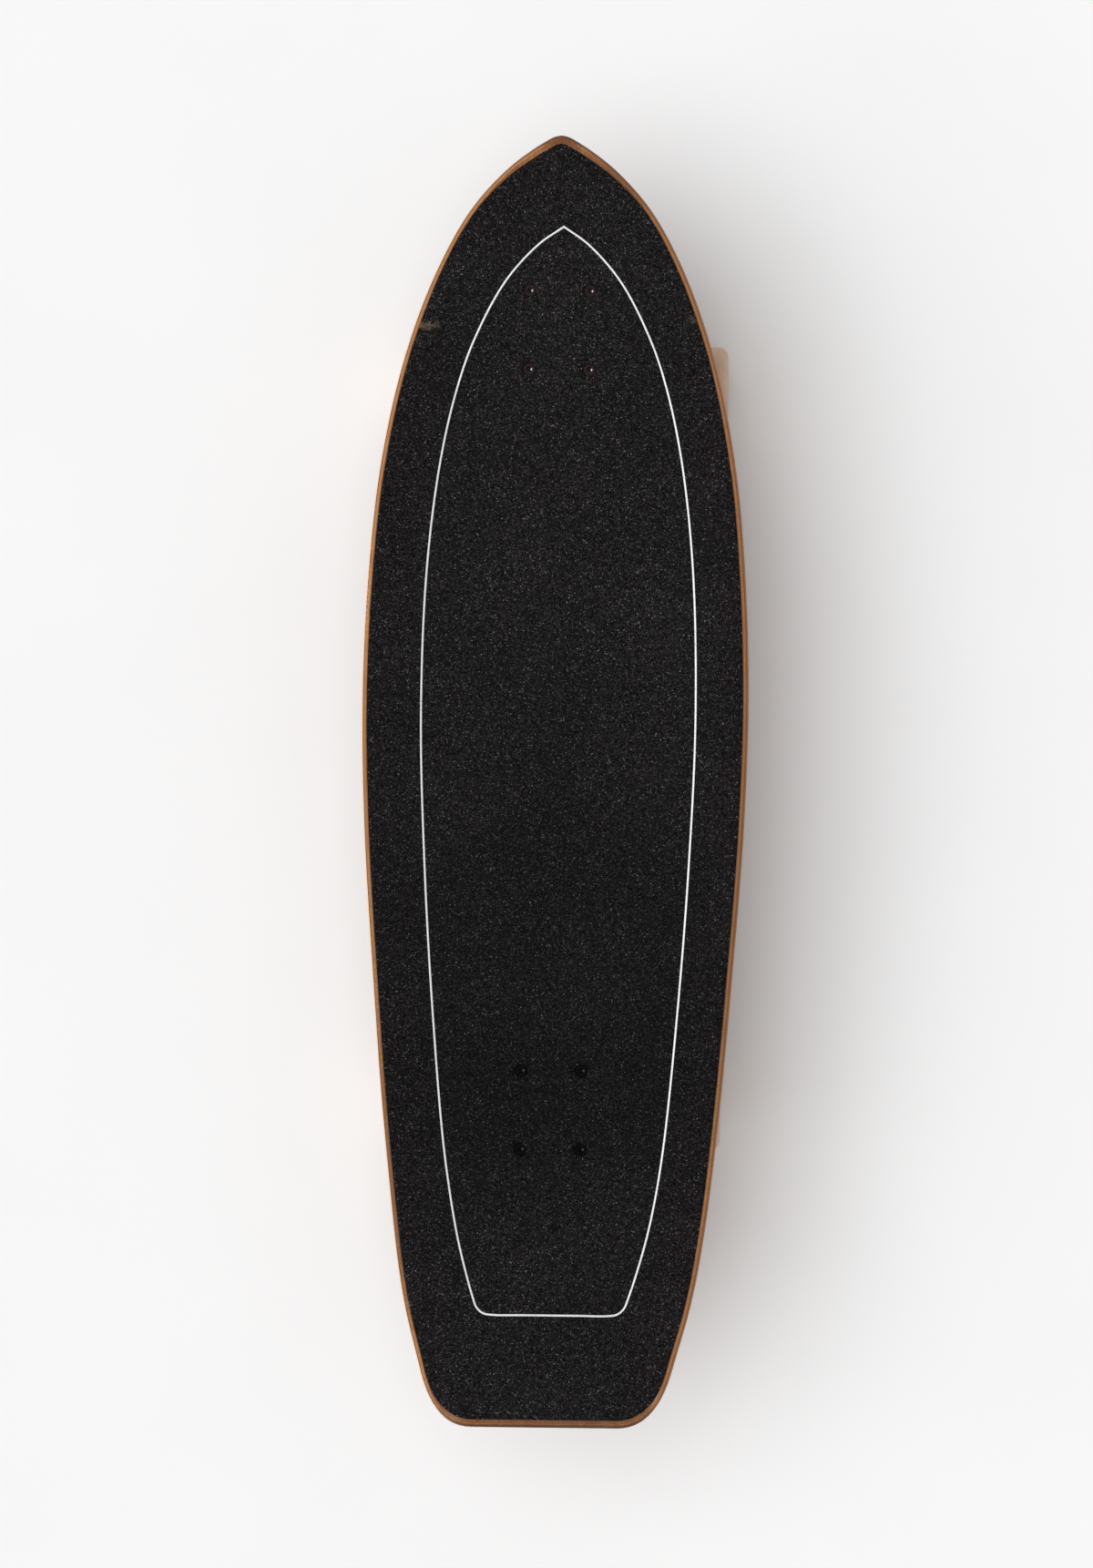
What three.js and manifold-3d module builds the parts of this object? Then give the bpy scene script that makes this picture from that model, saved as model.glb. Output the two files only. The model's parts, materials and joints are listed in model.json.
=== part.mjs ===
// Surf skateboard: a pointed, kicked deck on a swing-arm front truck and a plain rear truck.
// Millimetres. +Y points to the nose, +X to the rider's right, +Z up from the floor.
import * as THREE from "three";
import { mergeVertices } from "three/addons/utils/BufferGeometryUtils.js";
import Module from "manifold-3d";

const wasm = await Module();
wasm.setup();

// Clearances shared by every piece
const seatGap = 0.3;
const runGap = 0.3;
const cutOverrun = 4;

// Deck
const deckLength = 879;
const deckWidth = 265;
const deckThickness = 10.5;
const topRoundover = 3.6;
const bottomRoundover = 2.8;
const flatHalfWidth = 45;
const concaveDepth = 7;
const noseLift = 5;
const noseLiftRun = 85;
const kickStart = 167;
const kickBendRun = 41;
const kickAngle = THREE.MathUtils.degToRad(14);
const tailFlatHalf = 49.1;
const tailCornerHalf = 74.2;
const tailFadeShare = 0.6;

// Grip sheet
const gripInset = 4.2;
const gripThickness = 0.8;

// Deck bolts, on the usual truck pattern
const patternWidth = 41.3;
const patternLength = 53.98;
const frontPatternFromNose = 133.2;
const rearPatternFromTail = 210.6;
const boltRadius = 2.4;
const boltHeadRadius = 4.4;
const boltSocketRadius = 1.8;
const boltSocketDepth = 1.6;
const boltHoleRadius = 2.8;
const locknutAcross = 9.5;
const locknutHeight = 6;
const boltTail = 1;

// Wheels, bearings and axles
const wheelRadius = 33;
const wheelWidth = 51;
const wheelLipRadius = 4;
const wheelFaceFlat = 3;
const wheelFaceStep = 1.2;
const wheelSegments = 24;
const boreSides = 12;
const bearingRadius = 11;
const bearingBore = 4;
const bearingWidth = 7;
const bearingSpacing = 10;
const coreLedge = 2.3;
const coreRim = 3;
const axleRadius = 4;
const trackWidth = 180;
const speedRingWidth = 0.9;
const speedRingRadius = 6.8;
const axleNutAcross = 12.7;
const axleNutHeight = 7;
const axleTail = 1.5;
const axleChamfer = 0.8;
const spacerRadius = 6;

// Truck shared by both ends, measured from the axle: outward is away from the board's middle
const ringInward = 18;
const ringAboveAxle = 24;
const ringRadius = 16;
const ringThickness = 9;
const ringHoleRadius = 7;
const ringEdge = 1.5;
const pivotReach = 46;
const pivotTipRadius = 5.5;
const pivotNeckLength = 12;
const pivotNeckFlare = 0.6;
const stemFoot = 23;
const stemFootRadius = 8.6;
const stemRadius = 8;
const steerElevation = THREE.MathUtils.degToRad(30);
const kingpinLean = THREE.MathUtils.degToRad(12);
const kingpinRadius = 4.75;
const kingpinHeadRadius = 9;
const kingpinHeadHeight = 5;
const kingpinNutAcross = 14.3;
const kingpinNutHeight = 7.5;
const kingpinTail = 1.5;
const boardBushingHeight = 13;
const boardBushingRadius = 13;
const bushingBulge = 0.5;
const roadBushingHeight = 10;
const roadBushingRadius = 12;
const roadBushingEndRadius = 9.5;
const roadBushingCollar = 3;
const cupWasherThickness = 1.4;
const upperWasherRadius = 13.4;
const lowerWasherRadius = 10.4;
const pivotCupWall = 2.2;
const pivotCupDepth = 12;
const pivotCupFlare = 0.6;
const bossWall = 4;
const bossEdge = 1;
const boardRoomGap = 4.6;
const boardRoomRise = 12;
const roadRoomGap = 1.6;
const nutRoomGap = 4.5;
const nutRoomDepth = 8;
const housingEndRadius = 8.4;
const housingWaistRadius = 9.5;
const shoulderHalfHeight = 11.5;
const shoulderRise = 2;
const shoulderOutset = 1;
const crownHalfDepth = 10.2;
const crownHalfHeight = 16.5;
const crownRise = 8;
const crownOutset = 3;
const peakHalfDepth = 9.2;
const peakHalfHeight = 21;
const peakRise = 14;
const peakOutset = 4.5;
const yokeArmHalf = 13;
const yokeFootOut = 2;
const yokeFootUp = 8;
const yokeKneeOut = 8;
const yokeKneeUp = 20;
const yokeTopOut = 4;
const yokeTopUp = 28;

// Heights; the arm's clearance below its base sets how high the deck stands
const frontPlateAboveAxle = 46;
const frontPlateThickness = 8;
const frontRiserThickness = 3;
const frontBaseThickness = 6;
const armClearance = 18.282;
const rearPlateThickness = 7;
const rearPlateAboveAxle = 57;

// Front adapter: a fixed base and a trailing arm on a nearly upright pivot
const frontAxleTrail = 30;
const armReach = 56;
const swingTilt = THREE.MathUtils.degToRad(12);
const pivotBoltRadius = 6;
const pivotBoltHeadRadius = 10;
const pivotBoltHeadHeight = 6;
const pivotWasherRadius = 13;
const pivotWasherThickness = 2;
const neckRadius = 13;
const eyeRadius = 24;
const eyeHeight = 24;
const eyeDrop = 25;
const eyeMiddleDrop = 2;
const eyeEdge = 2;
const armTailHalf = 17;
const armTailMargin = 8;
const armTailBulge = 5;
const armShoulderHalf = 26;
const armShoulderRun = 26;
const armShoulderBend = 8;
const webThickness = 6;
const webFromMiddle = 16.5;
const webFootLift = 4;
const webDepth = 3;
const pivotBearingRadius = 15;
const pivotBearingWidth = 7;
const pivotBearingShoulder = 3;
const basePlateHalf = 29;
const basePlateBack = 13;
const basePlateFront = 27;
const plateCorner = 11;
const plateEdge = 1;

// Return spring round the adapter's neck
const springWireRadius = 1.5;
const springRadius = 20;
const springPitch = 3.7;
const springTurns = 3;
const springLeg = 16;
const springRoom = 1.2;
const springSteps = 8;
const springSides = 5;

// Rear truck plate and riser
const rearAxleOutset = 5;
const rearPlateHalfLength = 41;
const rearPlateHalfWidth = 28;
const riserMargin = 1;
const riserEdge = 1.5;
const pocketHalfWidth = 5;
const pocketHalfLength = 11;
const pocketCorner = 4.5;
const pocketFromMiddle = 19;
const wrenchRoom = 2;

// Places that follow from the sizes above
const noseY = deckLength / 2;
const frontPatternY = noseY - frontPatternFromNose;
const rearPatternY = rearPatternFromTail - deckLength / 2;
const axleHeight = wheelRadius * Math.cos(Math.PI / wheelSegments);
const frontAxleY = frontPatternY - frontAxleTrail;
const rearAxleY = rearPatternY - rearAxleOutset;
const frontArmTop = axleHeight + frontPlateAboveAxle + frontPlateThickness;
const frontBaseUnderside = frontArmTop + armClearance;
const deckUnderside = frontBaseUnderside + frontBaseThickness + frontRiserThickness;
const rearPlateTop = axleHeight + rearPlateAboveAxle + rearPlateThickness;
const kickBendRadius = kickBendRun / Math.sin(kickAngle);
const trackHalf = trackWidth / 2;
const wheelHalf = wheelWidth / 2;
const bearingInner = bearingSpacing / 2;
const bearingOuter = bearingInner + bearingWidth;
const hangerEnd = trackHalf - bearingOuter - speedRingWidth;
const axleNutStart = trackHalf + bearingOuter;
const axleHalf = axleNutStart + speedRingWidth + axleNutHeight + axleTail;

const paint = (color, roughness, metalness) =>
  new THREE.MeshStandardMaterial({ color, roughness, metalness });
const finishes = {
  maple: paint(0x9a6338, 0.5, 0),
  grip: paint(0x1f1d1e, 0.95, 0),
  castMetal: paint(0x2a2b2d, 0.45, 0.8),
  hangerMetal: paint(0xa9abad, 0.35, 0.9),
  steel: paint(0xb8babc, 0.3, 1),
  darkSteel: paint(0x3a302b, 0.4, 0.9),
  spring: paint(0x6c6f72, 0.3, 1),
  urethane: paint(0xe6dcc8, 0.45, 0),
  bushing: paint(0xc8552a, 0.5, 0),
  nylon: paint(0x17181a, 0.6, 0),
};

// A closed geometry becomes a solid once its corners are shared and its faces look outward
function signedVolume(position, index) {
  let total = 0;
  const a = new THREE.Vector3();
  const b = new THREE.Vector3();
  const c = new THREE.Vector3();
  for (let i = 0; i < index.length; i += 3) {
    a.fromBufferAttribute(position, index[i]);
    b.fromBufferAttribute(position, index[i + 1]);
    c.fromBufferAttribute(position, index[i + 2]);
    total += a.dot(b.cross(c));
  }
  return total;
}

function solid(geometry) {
  const bare = new THREE.BufferGeometry();
  bare.setAttribute("position", geometry.getAttribute("position").clone());
  if (geometry.index) bare.setIndex(geometry.index.clone());
  const merged = mergeVertices(bare, seatGap / 1000);
  const index = [];
  const corners = merged.index.array;
  for (let i = 0; i < corners.length; i += 3) {
    const [a, b, c] = [corners[i], corners[i + 1], corners[i + 2]];
    if (a !== b && b !== c && c !== a) index.push(a, b, c);
  }
  if (signedVolume(merged.getAttribute("position"), index) < 0) {
    for (let i = 0; i < index.length; i += 3) {
      [index[i + 1], index[i + 2]] = [index[i + 2], index[i + 1]];
    }
  }
  const mesh = new wasm.Mesh({
    numProp: 3,
    vertProperties: new Float32Array(merged.getAttribute("position").array),
    triVerts: new Uint32Array(index),
  });
  return new wasm.Manifold(mesh);
}

function piece(name, body, material) {
  const mesh = body.getMesh();
  const geometry = new THREE.BufferGeometry();
  geometry.setAttribute("position", new THREE.BufferAttribute(new Float32Array(mesh.vertProperties), 3));
  geometry.setIndex(new THREE.BufferAttribute(new Uint32Array(mesh.triVerts), 1));
  geometry.computeVertexNormals();
  const part = new THREE.Mesh(geometry, material);
  part.name = name;
  return part;
}

const join = (...bodies) => bodies.reduce((whole, body) => whole.add(body));
const cut = (body, ...tools) => tools.reduce((whole, tool) => whole.subtract(tool), body);

// Profiles of [radius, height] pairs turned about +Z; a ring's profile closes on itself
function turned(profile, segments) {
  const points = profile.map(([radius, height]) => new THREE.Vector2(radius, height));
  const geometry = new THREE.LatheGeometry(points, segments);
  return geometry.rotateX(Math.PI / 2);
}

const rod = (radius, low, high, segments) =>
  turned([[0, low], [radius, low], [radius, high], [0, high]], segments);

function ringProfile(points) {
  return [...points, points[0]];
}

const tubeRing = (inner, outer, low, high, segments) =>
  turned(ringProfile([[inner, low], [outer, low], [outer, high], [inner, high]]), segments);

// A hexagon bar by its size across flats
const hexBar = (across, low, high) =>
  rod(across / 2 / Math.cos(Math.PI / 6), low, high, 6);

// The radius at a polygon's corners that leaves a round piece its clearance at the flats
const boreCorner = (radius, segments) => (radius + runGap) / Math.cos(Math.PI / segments);

function roundedPlate(halfWidth, back, front, corner, low, high, bevel) {
  const shape = new THREE.Shape();
  shape.moveTo(-halfWidth + corner, back);
  shape.lineTo(halfWidth - corner, back);
  shape.absarc(halfWidth - corner, back + corner, corner, -Math.PI / 2, 0);
  shape.lineTo(halfWidth, front - corner);
  shape.absarc(halfWidth - corner, front - corner, corner, 0, Math.PI / 2);
  shape.lineTo(-halfWidth + corner, front);
  shape.absarc(-halfWidth + corner, front - corner, corner, Math.PI / 2, Math.PI);
  shape.lineTo(-halfWidth, back + corner);
  shape.absarc(-halfWidth + corner, back + corner, corner, Math.PI, Math.PI * 1.5);
  return extruded(shape, low, high, bevel, 3);
}

function extruded(shape, low, high, bevel, curveSegments) {
  const geometry = new THREE.ExtrudeGeometry(shape, {
    depth: high - low - 2 * bevel,
    bevelEnabled: bevel > 0,
    bevelThickness: bevel,
    bevelSize: bevel,
    bevelOffset: -bevel,
    bevelSegments: 1,
    curveSegments,
  });
  return geometry.translate(0, 0, low + bevel);
}

// Rings of points with the same count, skinned one to the next and closed by fans
function skinned(rings) {
  const count = rings[0].length;
  const positions = rings.flat().flatMap((point) => [point.x, point.y, point.z]);
  const index = [];
  for (let r = 0; r + 1 < rings.length; r += 1) {
    for (let i = 0; i < count; i += 1) {
      const next = (i + 1) % count;
      const [a, b] = [r * count + i, r * count + next];
      const [c, d] = [a + count, b + count];
      index.push(a, b, d, a, d, c);
    }
  }
  for (const [r, flip] of [[0, true], [rings.length - 1, false]]) {
    for (let i = 1; i + 1 < count; i += 1) {
      const [a, b, c] = [r * count, r * count + i, r * count + i + 1];
      index.push(...(flip ? [a, c, b] : [a, b, c]));
    }
  }
  const geometry = new THREE.BufferGeometry();
  geometry.setAttribute("position", new THREE.Float32BufferAttribute(positions, 3));
  geometry.setIndex(index);
  return geometry;
}

// Deck outline: shares of the length from the nose and of the half width, chosen by hand
const outlineShares = [
  [0, 0], [0.0012, 0.037], [0.0046, 0.081], [0.0114, 0.154], [0.0273, 0.29], [0.0569, 0.467],
  [0.1024, 0.635], [0.1707, 0.799], [0.2559, 0.918], [0.3413, 0.976], [0.438, 1], [0.5404, 0.983],
  [0.6541, 0.932], [0.7679, 0.869], [0.8525, 0.805], [0.9067, 0.741], [0.9606, 0.641],
];
const sideCurve = new THREE.CatmullRomCurve3(
  outlineShares.map(([along, half]) => new THREE.Vector3(half * deckWidth / 2, along * deckLength, 0)),
  false,
  "centripetal",
);
const tailCorner = new THREE.QuadraticBezierCurve(
  new THREE.Vector2(sideCurve.points.at(-1).x, sideCurve.points.at(-1).y),
  new THREE.Vector2(tailCornerHalf, deckLength),
  new THREE.Vector2(tailFlatHalf, deckLength),
);

// The side curve's point at a distance from the nose, by halving the interval
function sidePointAt(fromNose) {
  let [low, high] = [0, 1];
  for (let i = 0; i < 40; i += 1) {
    const middle = (low + high) / 2;
    if (sideCurve.getPoint(middle).y < fromNose) low = middle;
    else high = middle;
  }
  const point = sideCurve.getPoint(low);
  return new THREE.Vector2(point.x, fromNose);
}

// Half of the outline from the nose's tip to the tail's flat, as distances from the nose
function halfOutline() {
  const kickFromNose = deckLength - kickStart;
  const sideEnd = sideCurve.points.at(-1).y;
  const places = sideCurve.points.slice(1, -1).map((point) => point.y);
  for (let i = 0; i <= 4; i += 1) places.push(kickFromNose + kickBendRun * i / 4);
  const rows = [];
  places.sort((a, b) => a - b);
  places.forEach((place) => {
    const near = rows.length && place - rows.at(-1) < Math.min(place / 6, topRoundover * 2);
    if (!near || place === kickFromNose) rows.push(place);
  });
  const points = [new THREE.Vector2(0, 0), ...rows.filter((row) => row < sideEnd).map(sidePointAt)];
  tailCorner.getPoints(6).forEach((point) => points.push(point));
  return points;
}

// Inward shift of every outline point, square to the outline, stopped at the middle line
function insetOutline(points, inset) {
  return points.map((point, i) => {
    const before = points[Math.max(i - 1, 0)];
    const after = points[Math.min(i + 1, points.length - 1)];
    const along = after.clone().sub(before).normalize();
    if (i === 0) along.set(1, 0);
    if (i === points.length - 1) along.set(-1, 0);
    const inward = new THREE.Vector2(-along.y, along.x);
    const moved = point.clone().addScaledVector(inward, inset);
    const noseStop = inset * 1.25;
    if (moved.x < inset / 50 || moved.y < noseStop) return new THREE.Vector2(0, noseStop);
    return moved;
  });
}

// Height of the underside above its flat middle
function deckRise(x, fromNose) {
  const noseRun = Math.max(0, noseLiftRun - fromNose);
  let rise = noseLift * (noseRun / noseLiftRun) ** 2;
  const kickRun = fromNose - (deckLength - kickStart);
  if (kickRun > 0) {
    const bend = Math.min(kickRun, kickBendRun);
    rise += kickBendRadius - Math.sqrt(kickBendRadius ** 2 - bend ** 2);
    rise += (kickRun - bend) * Math.tan(kickAngle);
  }
  const beyondFlat = Math.max(0, Math.abs(x) - flatHalfWidth) / (deckWidth / 2 - flatHalfWidth);
  const noseFade = THREE.MathUtils.smoothstep(fromNose, 0, deckLength / 4);
  const kickShare = THREE.MathUtils.smoothstep(fromNose, deckLength - kickStart, deckLength);
  const tailFade = 1 - tailFadeShare * kickShare;
  return rise + concaveDepth * beyondFlat ** 2 * noseFade * tailFade;
}

function deckSlopeStretch(fromNose) {
  const kickRun = fromNose - (deckLength - kickStart);
  const angle = Math.asin(THREE.MathUtils.clamp(kickRun / kickBendRadius, 0, Math.sin(kickAngle)));
  return 1 / Math.cos(angle);
}

// A sheet that follows the deck: edge levels run from its lower face to its upper face
function deckSheet(levels) {
  const outline = halfOutline();
  const acrossShares = [0.33, 0.67, 1];
  const positions = [];
  const index = [];
  const vertex = (x, fromNose, height) => {
    const z = deckUnderside + deckRise(x, fromNose) + height * deckSlopeStretch(fromNose);
    positions.push(x, noseY - fromNose, z);
    return positions.length / 3 - 1;
  };
  const row = (edge) => {
    const flat = Math.min(flatHalfWidth, edge.x / 2);
    const right = acrossShares.map((share) => flat + (edge.x - flat) * share);
    const half = [flat, ...right];
    return [...half.map((x) => -x).reverse(), 0, ...half];
  };
  const face = ([inset, height]) =>
    insetOutline(outline, inset).map((edge) => row(edge).map((x) => vertex(x, edge.y, height)));
  const cover = (grid, upward) => {
    for (let r = 0; r + 1 < grid.length; r += 1) {
      for (let c = 0; c + 1 < grid[r].length; c += 1) {
        const [a, b, d, e] = [grid[r][c], grid[r][c + 1], grid[r + 1][c], grid[r + 1][c + 1]];
        index.push(...(upward ? [a, d, e, a, e, b] : [a, e, d, a, b, e]));
      }
    }
  };
  const rim = ([inset, height]) => {
    const grid = insetOutline(outline, inset).map((edge) => ({ edge, xs: row(edge) }));
    const right = grid.map(({ edge, xs }) => vertex(xs.at(-1), edge.y, height));
    const tail = grid.at(-1);
    const across = tail.xs.slice(1, -1).reverse().map((x) => vertex(x, tail.edge.y, height));
    const left = grid.map(({ edge, xs }) => vertex(xs[0], edge.y, height)).reverse();
    return [...right, ...across, ...left];
  };
  cover(face(levels[0]), false);
  cover(face(levels.at(-1)), true);
  const rims = levels.map(rim);
  for (let r = 0; r + 1 < rims.length; r += 1) {
    for (let i = 0; i < rims[r].length; i += 1) {
      const next = (i + 1) % rims[r].length;
      index.push(rims[r][i], rims[r + 1][next], rims[r][next]);
      index.push(rims[r][i], rims[r + 1][i], rims[r + 1][next]);
    }
  }
  const geometry = new THREE.BufferGeometry();
  geometry.setAttribute("position", new THREE.Float32BufferAttribute(positions, 3));
  geometry.setIndex(index);
  return solid(geometry);
}

const patternPlaces = (centreY) => [1, -1].flatMap((end) => [-1, 1].map((side) =>
  new THREE.Vector2(side * patternWidth / 2, centreY + end * patternLength / 2)));

const deckTop = deckUnderside + deckThickness;
const boltHeadTop = deckTop + seatGap;

// Countersunk outline of a deck bolt, grown by a clearance
function boltProfile(grow, low, high) {
  const coneFoot = boltHeadTop - (boltHeadRadius - boltRadius);
  return [
    [0, low], [boltRadius + grow, low], [boltRadius + grow, coneFoot - grow / 2],
    [boltHeadRadius + grow, boltHeadTop - grow / 2], [boltHeadRadius + grow, high], [0, high],
  ];
}

function buildDeck() {
  const half = Math.SQRT1_2;
  const levels = [
    [bottomRoundover, 0],
    [0, bottomRoundover],
    [0, deckThickness - topRoundover],
    [topRoundover * (1 - half), deckThickness - topRoundover * (1 - half)],
    [topRoundover, deckThickness],
    [gripInset, deckThickness],
  ];
  const holes = [frontPatternY, rearPatternY].flatMap(patternPlaces).map((place) => {
    const grow = boltHoleRadius - boltRadius;
    const profile = boltProfile(grow, deckUnderside - cutOverrun, deckTop + cutOverrun);
    return solid(turned(profile, 8).translate(place.x, place.y, 0));
  });
  return piece("deck", cut(deckSheet(levels), ...holes), finishes.maple);
}

function buildGripSheet() {
  const low = deckThickness + seatGap;
  const holes = [frontPatternY, rearPatternY].flatMap(patternPlaces).map((place) => {
    const hole = rod(boltHeadRadius + 2 * runGap, deckTop - cutOverrun, deckTop + cutOverrun, 10);
    return solid(hole.translate(place.x, place.y, 0));
  });
  const sheet = deckSheet([[gripInset, low], [gripInset, low + gripThickness]]);
  return piece("griptape", cut(sheet, ...holes), finishes.grip);
}

function buildDeckBolts(label, centreY, plateUnderside) {
  return patternPlaces(centreY).map((place, i) => {
    const nutTop = plateUnderside;
    const nutLow = nutTop - locknutHeight;
    const shank = solid(turned(boltProfile(0, nutLow - boltTail, boltHeadTop), 8));
    const nut = solid(hexBar(locknutAcross, nutLow, nutTop));
    const socket = solid(rod(boltSocketRadius, boltHeadTop - boltSocketDepth, boltHeadTop + cutOverrun, 6));
    const bolt = cut(join(shank, nut), socket);
    const part = piece(`${label}_deck_bolt_${i + 1}`, bolt, finishes.darkSteel);
    part.position.set(place.x, place.y, 0);
    return part;
  });
}

const patternHoles = (centreY, radius, low, high) =>
  patternPlaces(centreY).map((place) => solid(rod(radius, low, high, 8).translate(place.x, place.y, 0)));

const basePlateBackY = frontPatternY - patternLength / 2 - basePlateBack;
const basePlateFrontY = frontPatternY + patternLength / 2 + basePlateFront;

function buildFrontRiser() {
  const low = deckUnderside - frontRiserThickness;
  const body = solid(roundedPlate(
    basePlateHalf, basePlateBackY, basePlateFrontY, plateCorner, low, deckUnderside, 0));
  const holes = patternHoles(frontPatternY, boltHoleRadius, low - cutOverrun, deckUnderside + cutOverrun);
  return piece("front_riser_pad", cut(body, ...holes), finishes.nylon);
}

// The swing axis passes through the arm's eye and leans towards the nose as it rises
const swingCentre = new THREE.Vector3(0, frontAxleY + armReach, frontBaseUnderside - eyeDrop - eyeHeight / 3);
const inSwingFrame = (geometry) =>
  geometry.rotateX(-swingTilt).translate(swingCentre.x, swingCentre.y, swingCentre.z);
const eyeTop = eyeHeight / 2 - eyeMiddleDrop;
const eyeLow = eyeTop - eyeHeight;
const neckFoot = eyeTop + seatGap;
const neckTop = (frontBaseUnderside + frontBaseThickness / 2 - swingCentre.z) / Math.cos(swingTilt);
const springLow = eyeTop + seatGap + springWireRadius;
const springHigh = springLow + springPitch * springTurns;

// A plate's thickness is enough for the ribs that steady the neck
function buildBaseRib(side) {
  const shape = new THREE.Shape();
  const ribRun = basePlateFrontY - plateCorner - swingCentre.y;
  shape.moveTo(0, 0);
  shape.lineTo(ribRun, 0);
  shape.lineTo(0, -frontBaseThickness * 1.2);
  const rib = extruded(shape, 0, frontBaseThickness / 2, 0, 1);
  rib.rotateX(Math.PI / 2).rotateZ(Math.PI / 2);
  const across = side * neckRadius * 0.6 - frontBaseThickness / 4;
  return solid(rib.translate(across, swingCentre.y, frontBaseUnderside + seatGap));
}

function buildAdapterBase() {
  const plateTop = deckUnderside - frontRiserThickness;
  const plate = solid(roundedPlate(
    basePlateHalf, basePlateBackY, basePlateFrontY, plateCorner, frontBaseUnderside, plateTop, plateEdge));
  const neck = solid(inSwingFrame(turned([
    [0, neckFoot], [neckRadius - bossEdge, neckFoot], [neckRadius, neckFoot + bossEdge],
    [neckRadius, neckTop], [0, neckTop],
  ], 24)));
  const anchorAcross = springWireRadius * 4;
  const anchorTop = neckTop + springRadius * Math.tan(swingTilt) + frontBaseThickness / 2;
  const anchorLow = springHigh - anchorAcross / 2;
  const anchor = new THREE.BoxGeometry(anchorAcross, anchorAcross, anchorTop - anchorLow);
  anchor.translate(springLeg + anchorAcross / 2 + seatGap, springRadius, (anchorTop + anchorLow) / 2);
  const above = solid(roundedPlate(
    basePlateHalf * 2, basePlateBackY - basePlateHalf, basePlateFrontY + basePlateHalf,
    plateCorner, plateTop, plateTop + frontBaseThickness * 4, 0));
  const boltTop = neckTop - frontBaseThickness;
  const bolt = solid(inSwingFrame(rod(
    boreCorner(pivotBoltRadius, boreSides), neckFoot - cutOverrun, boltTop, boreSides)));
  const holes = patternHoles(
    frontPatternY, boltHoleRadius, frontBaseUnderside - cutOverrun, plateTop + cutOverrun);
  const body = join(plate, neck, solid(inSwingFrame(anchor)), buildBaseRib(-1), buildBaseRib(1));
  return piece("adapter_base", cut(body, above, bolt, ...holes), finishes.castMetal);
}

function buildPivotBearings() {
  const bore = pivotBoltRadius + runGap * 1.2;
  const places = { upper: eyeTop - pivotBearingWidth, lower: eyeLow };
  return Object.entries(places).map(([label, low]) => {
    const ring = tubeRing(bore, pivotBearingRadius, low, low + pivotBearingWidth, 16);
    return piece(`pivot_bearing_${label}`, solid(inSwingFrame(ring)), finishes.steel);
  });
}

function buildPivotBolt() {
  const washerTop = eyeLow - seatGap;
  const headTop = washerTop - pivotWasherThickness;
  const headLow = headTop - pivotBoltHeadHeight;
  const shankTop = neckTop - frontBaseThickness * 1.5;
  const shank = solid(rod(pivotBoltRadius, headLow + seatGap, shankTop, boreSides));
  const head = solid(hexBar(pivotBoltHeadRadius * 2 * Math.cos(Math.PI / 6), headLow, headTop));
  const washer = solid(rod(pivotWasherRadius, headTop, washerTop, 16));
  const socket = solid(rod(
    pivotBoltRadius * 0.7, headLow - cutOverrun, headLow + pivotBoltHeadHeight / 2, 6));
  const body = cut(join(shank, head, washer), socket);
  return piece("pivot_bolt", solid(inSwingFrame(geometryOf(body))), finishes.steel);
}

function geometryOf(body) {
  const mesh = body.getMesh();
  const geometry = new THREE.BufferGeometry();
  geometry.setAttribute("position", new THREE.BufferAttribute(new Float32Array(mesh.vertProperties), 3));
  geometry.setIndex(new THREE.BufferAttribute(new Uint32Array(mesh.triVerts), 1));
  return geometry;
}

// One unbroken wire: straight leg, coil, straight leg
function springPath() {
  const points = [];
  const steps = springTurns * springSteps;
  const at = (step) => {
    const angle = Math.PI / 2 - (step / springSteps) * Math.PI * 2;
    const height = springLow + springPitch * step / springSteps;
    return new THREE.Vector3(springRadius * Math.cos(angle), springRadius * Math.sin(angle), height);
  };
  points.push(at(0).add(new THREE.Vector3(-springLeg, 0, 0)));
  for (let step = 0; step <= steps; step += 1) points.push(at(step));
  points.push(at(steps).add(new THREE.Vector3(springLeg, 0, 0)));
  return points;
}

function wire(points, radius, sides) {
  let side = new THREE.Vector3(0, 0, 1);
  const rings = points.map((point, i) => {
    const before = points[Math.max(i - 1, 0)];
    const after = points[Math.min(i + 1, points.length - 1)];
    const along = after.clone().sub(before).normalize();
    side = side.clone().addScaledVector(along, -side.dot(along)).normalize();
    const across = along.clone().cross(side);
    return Array.from({ length: sides }, (_, k) => {
      const turn = k / sides * Math.PI * 2;
      return point.clone().addScaledVector(side, radius * Math.cos(turn))
        .addScaledVector(across, radius * Math.sin(turn));
    });
  });
  return skinned(rings);
}

// The least distance between stretches of the wire that are more than half a turn apart
function leastSelfGap(points, radius) {
  let least = Infinity;
  points.forEach((a, i) => points.slice(i + springSteps / 2).forEach((b) => {
    least = Math.min(least, a.distanceTo(b) - 2 * radius);
  }));
  return least;
}

function buildReturnSpring() {
  const path = springPath();
  console.log(`return spring least gap to itself: ${leastSelfGap(path, springWireRadius).toFixed(2)} mm`);
  const body = solid(inSwingFrame(wire(path, springWireRadius, springSides)));
  return piece("return_spring", body, finishes.spring);
}

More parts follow.
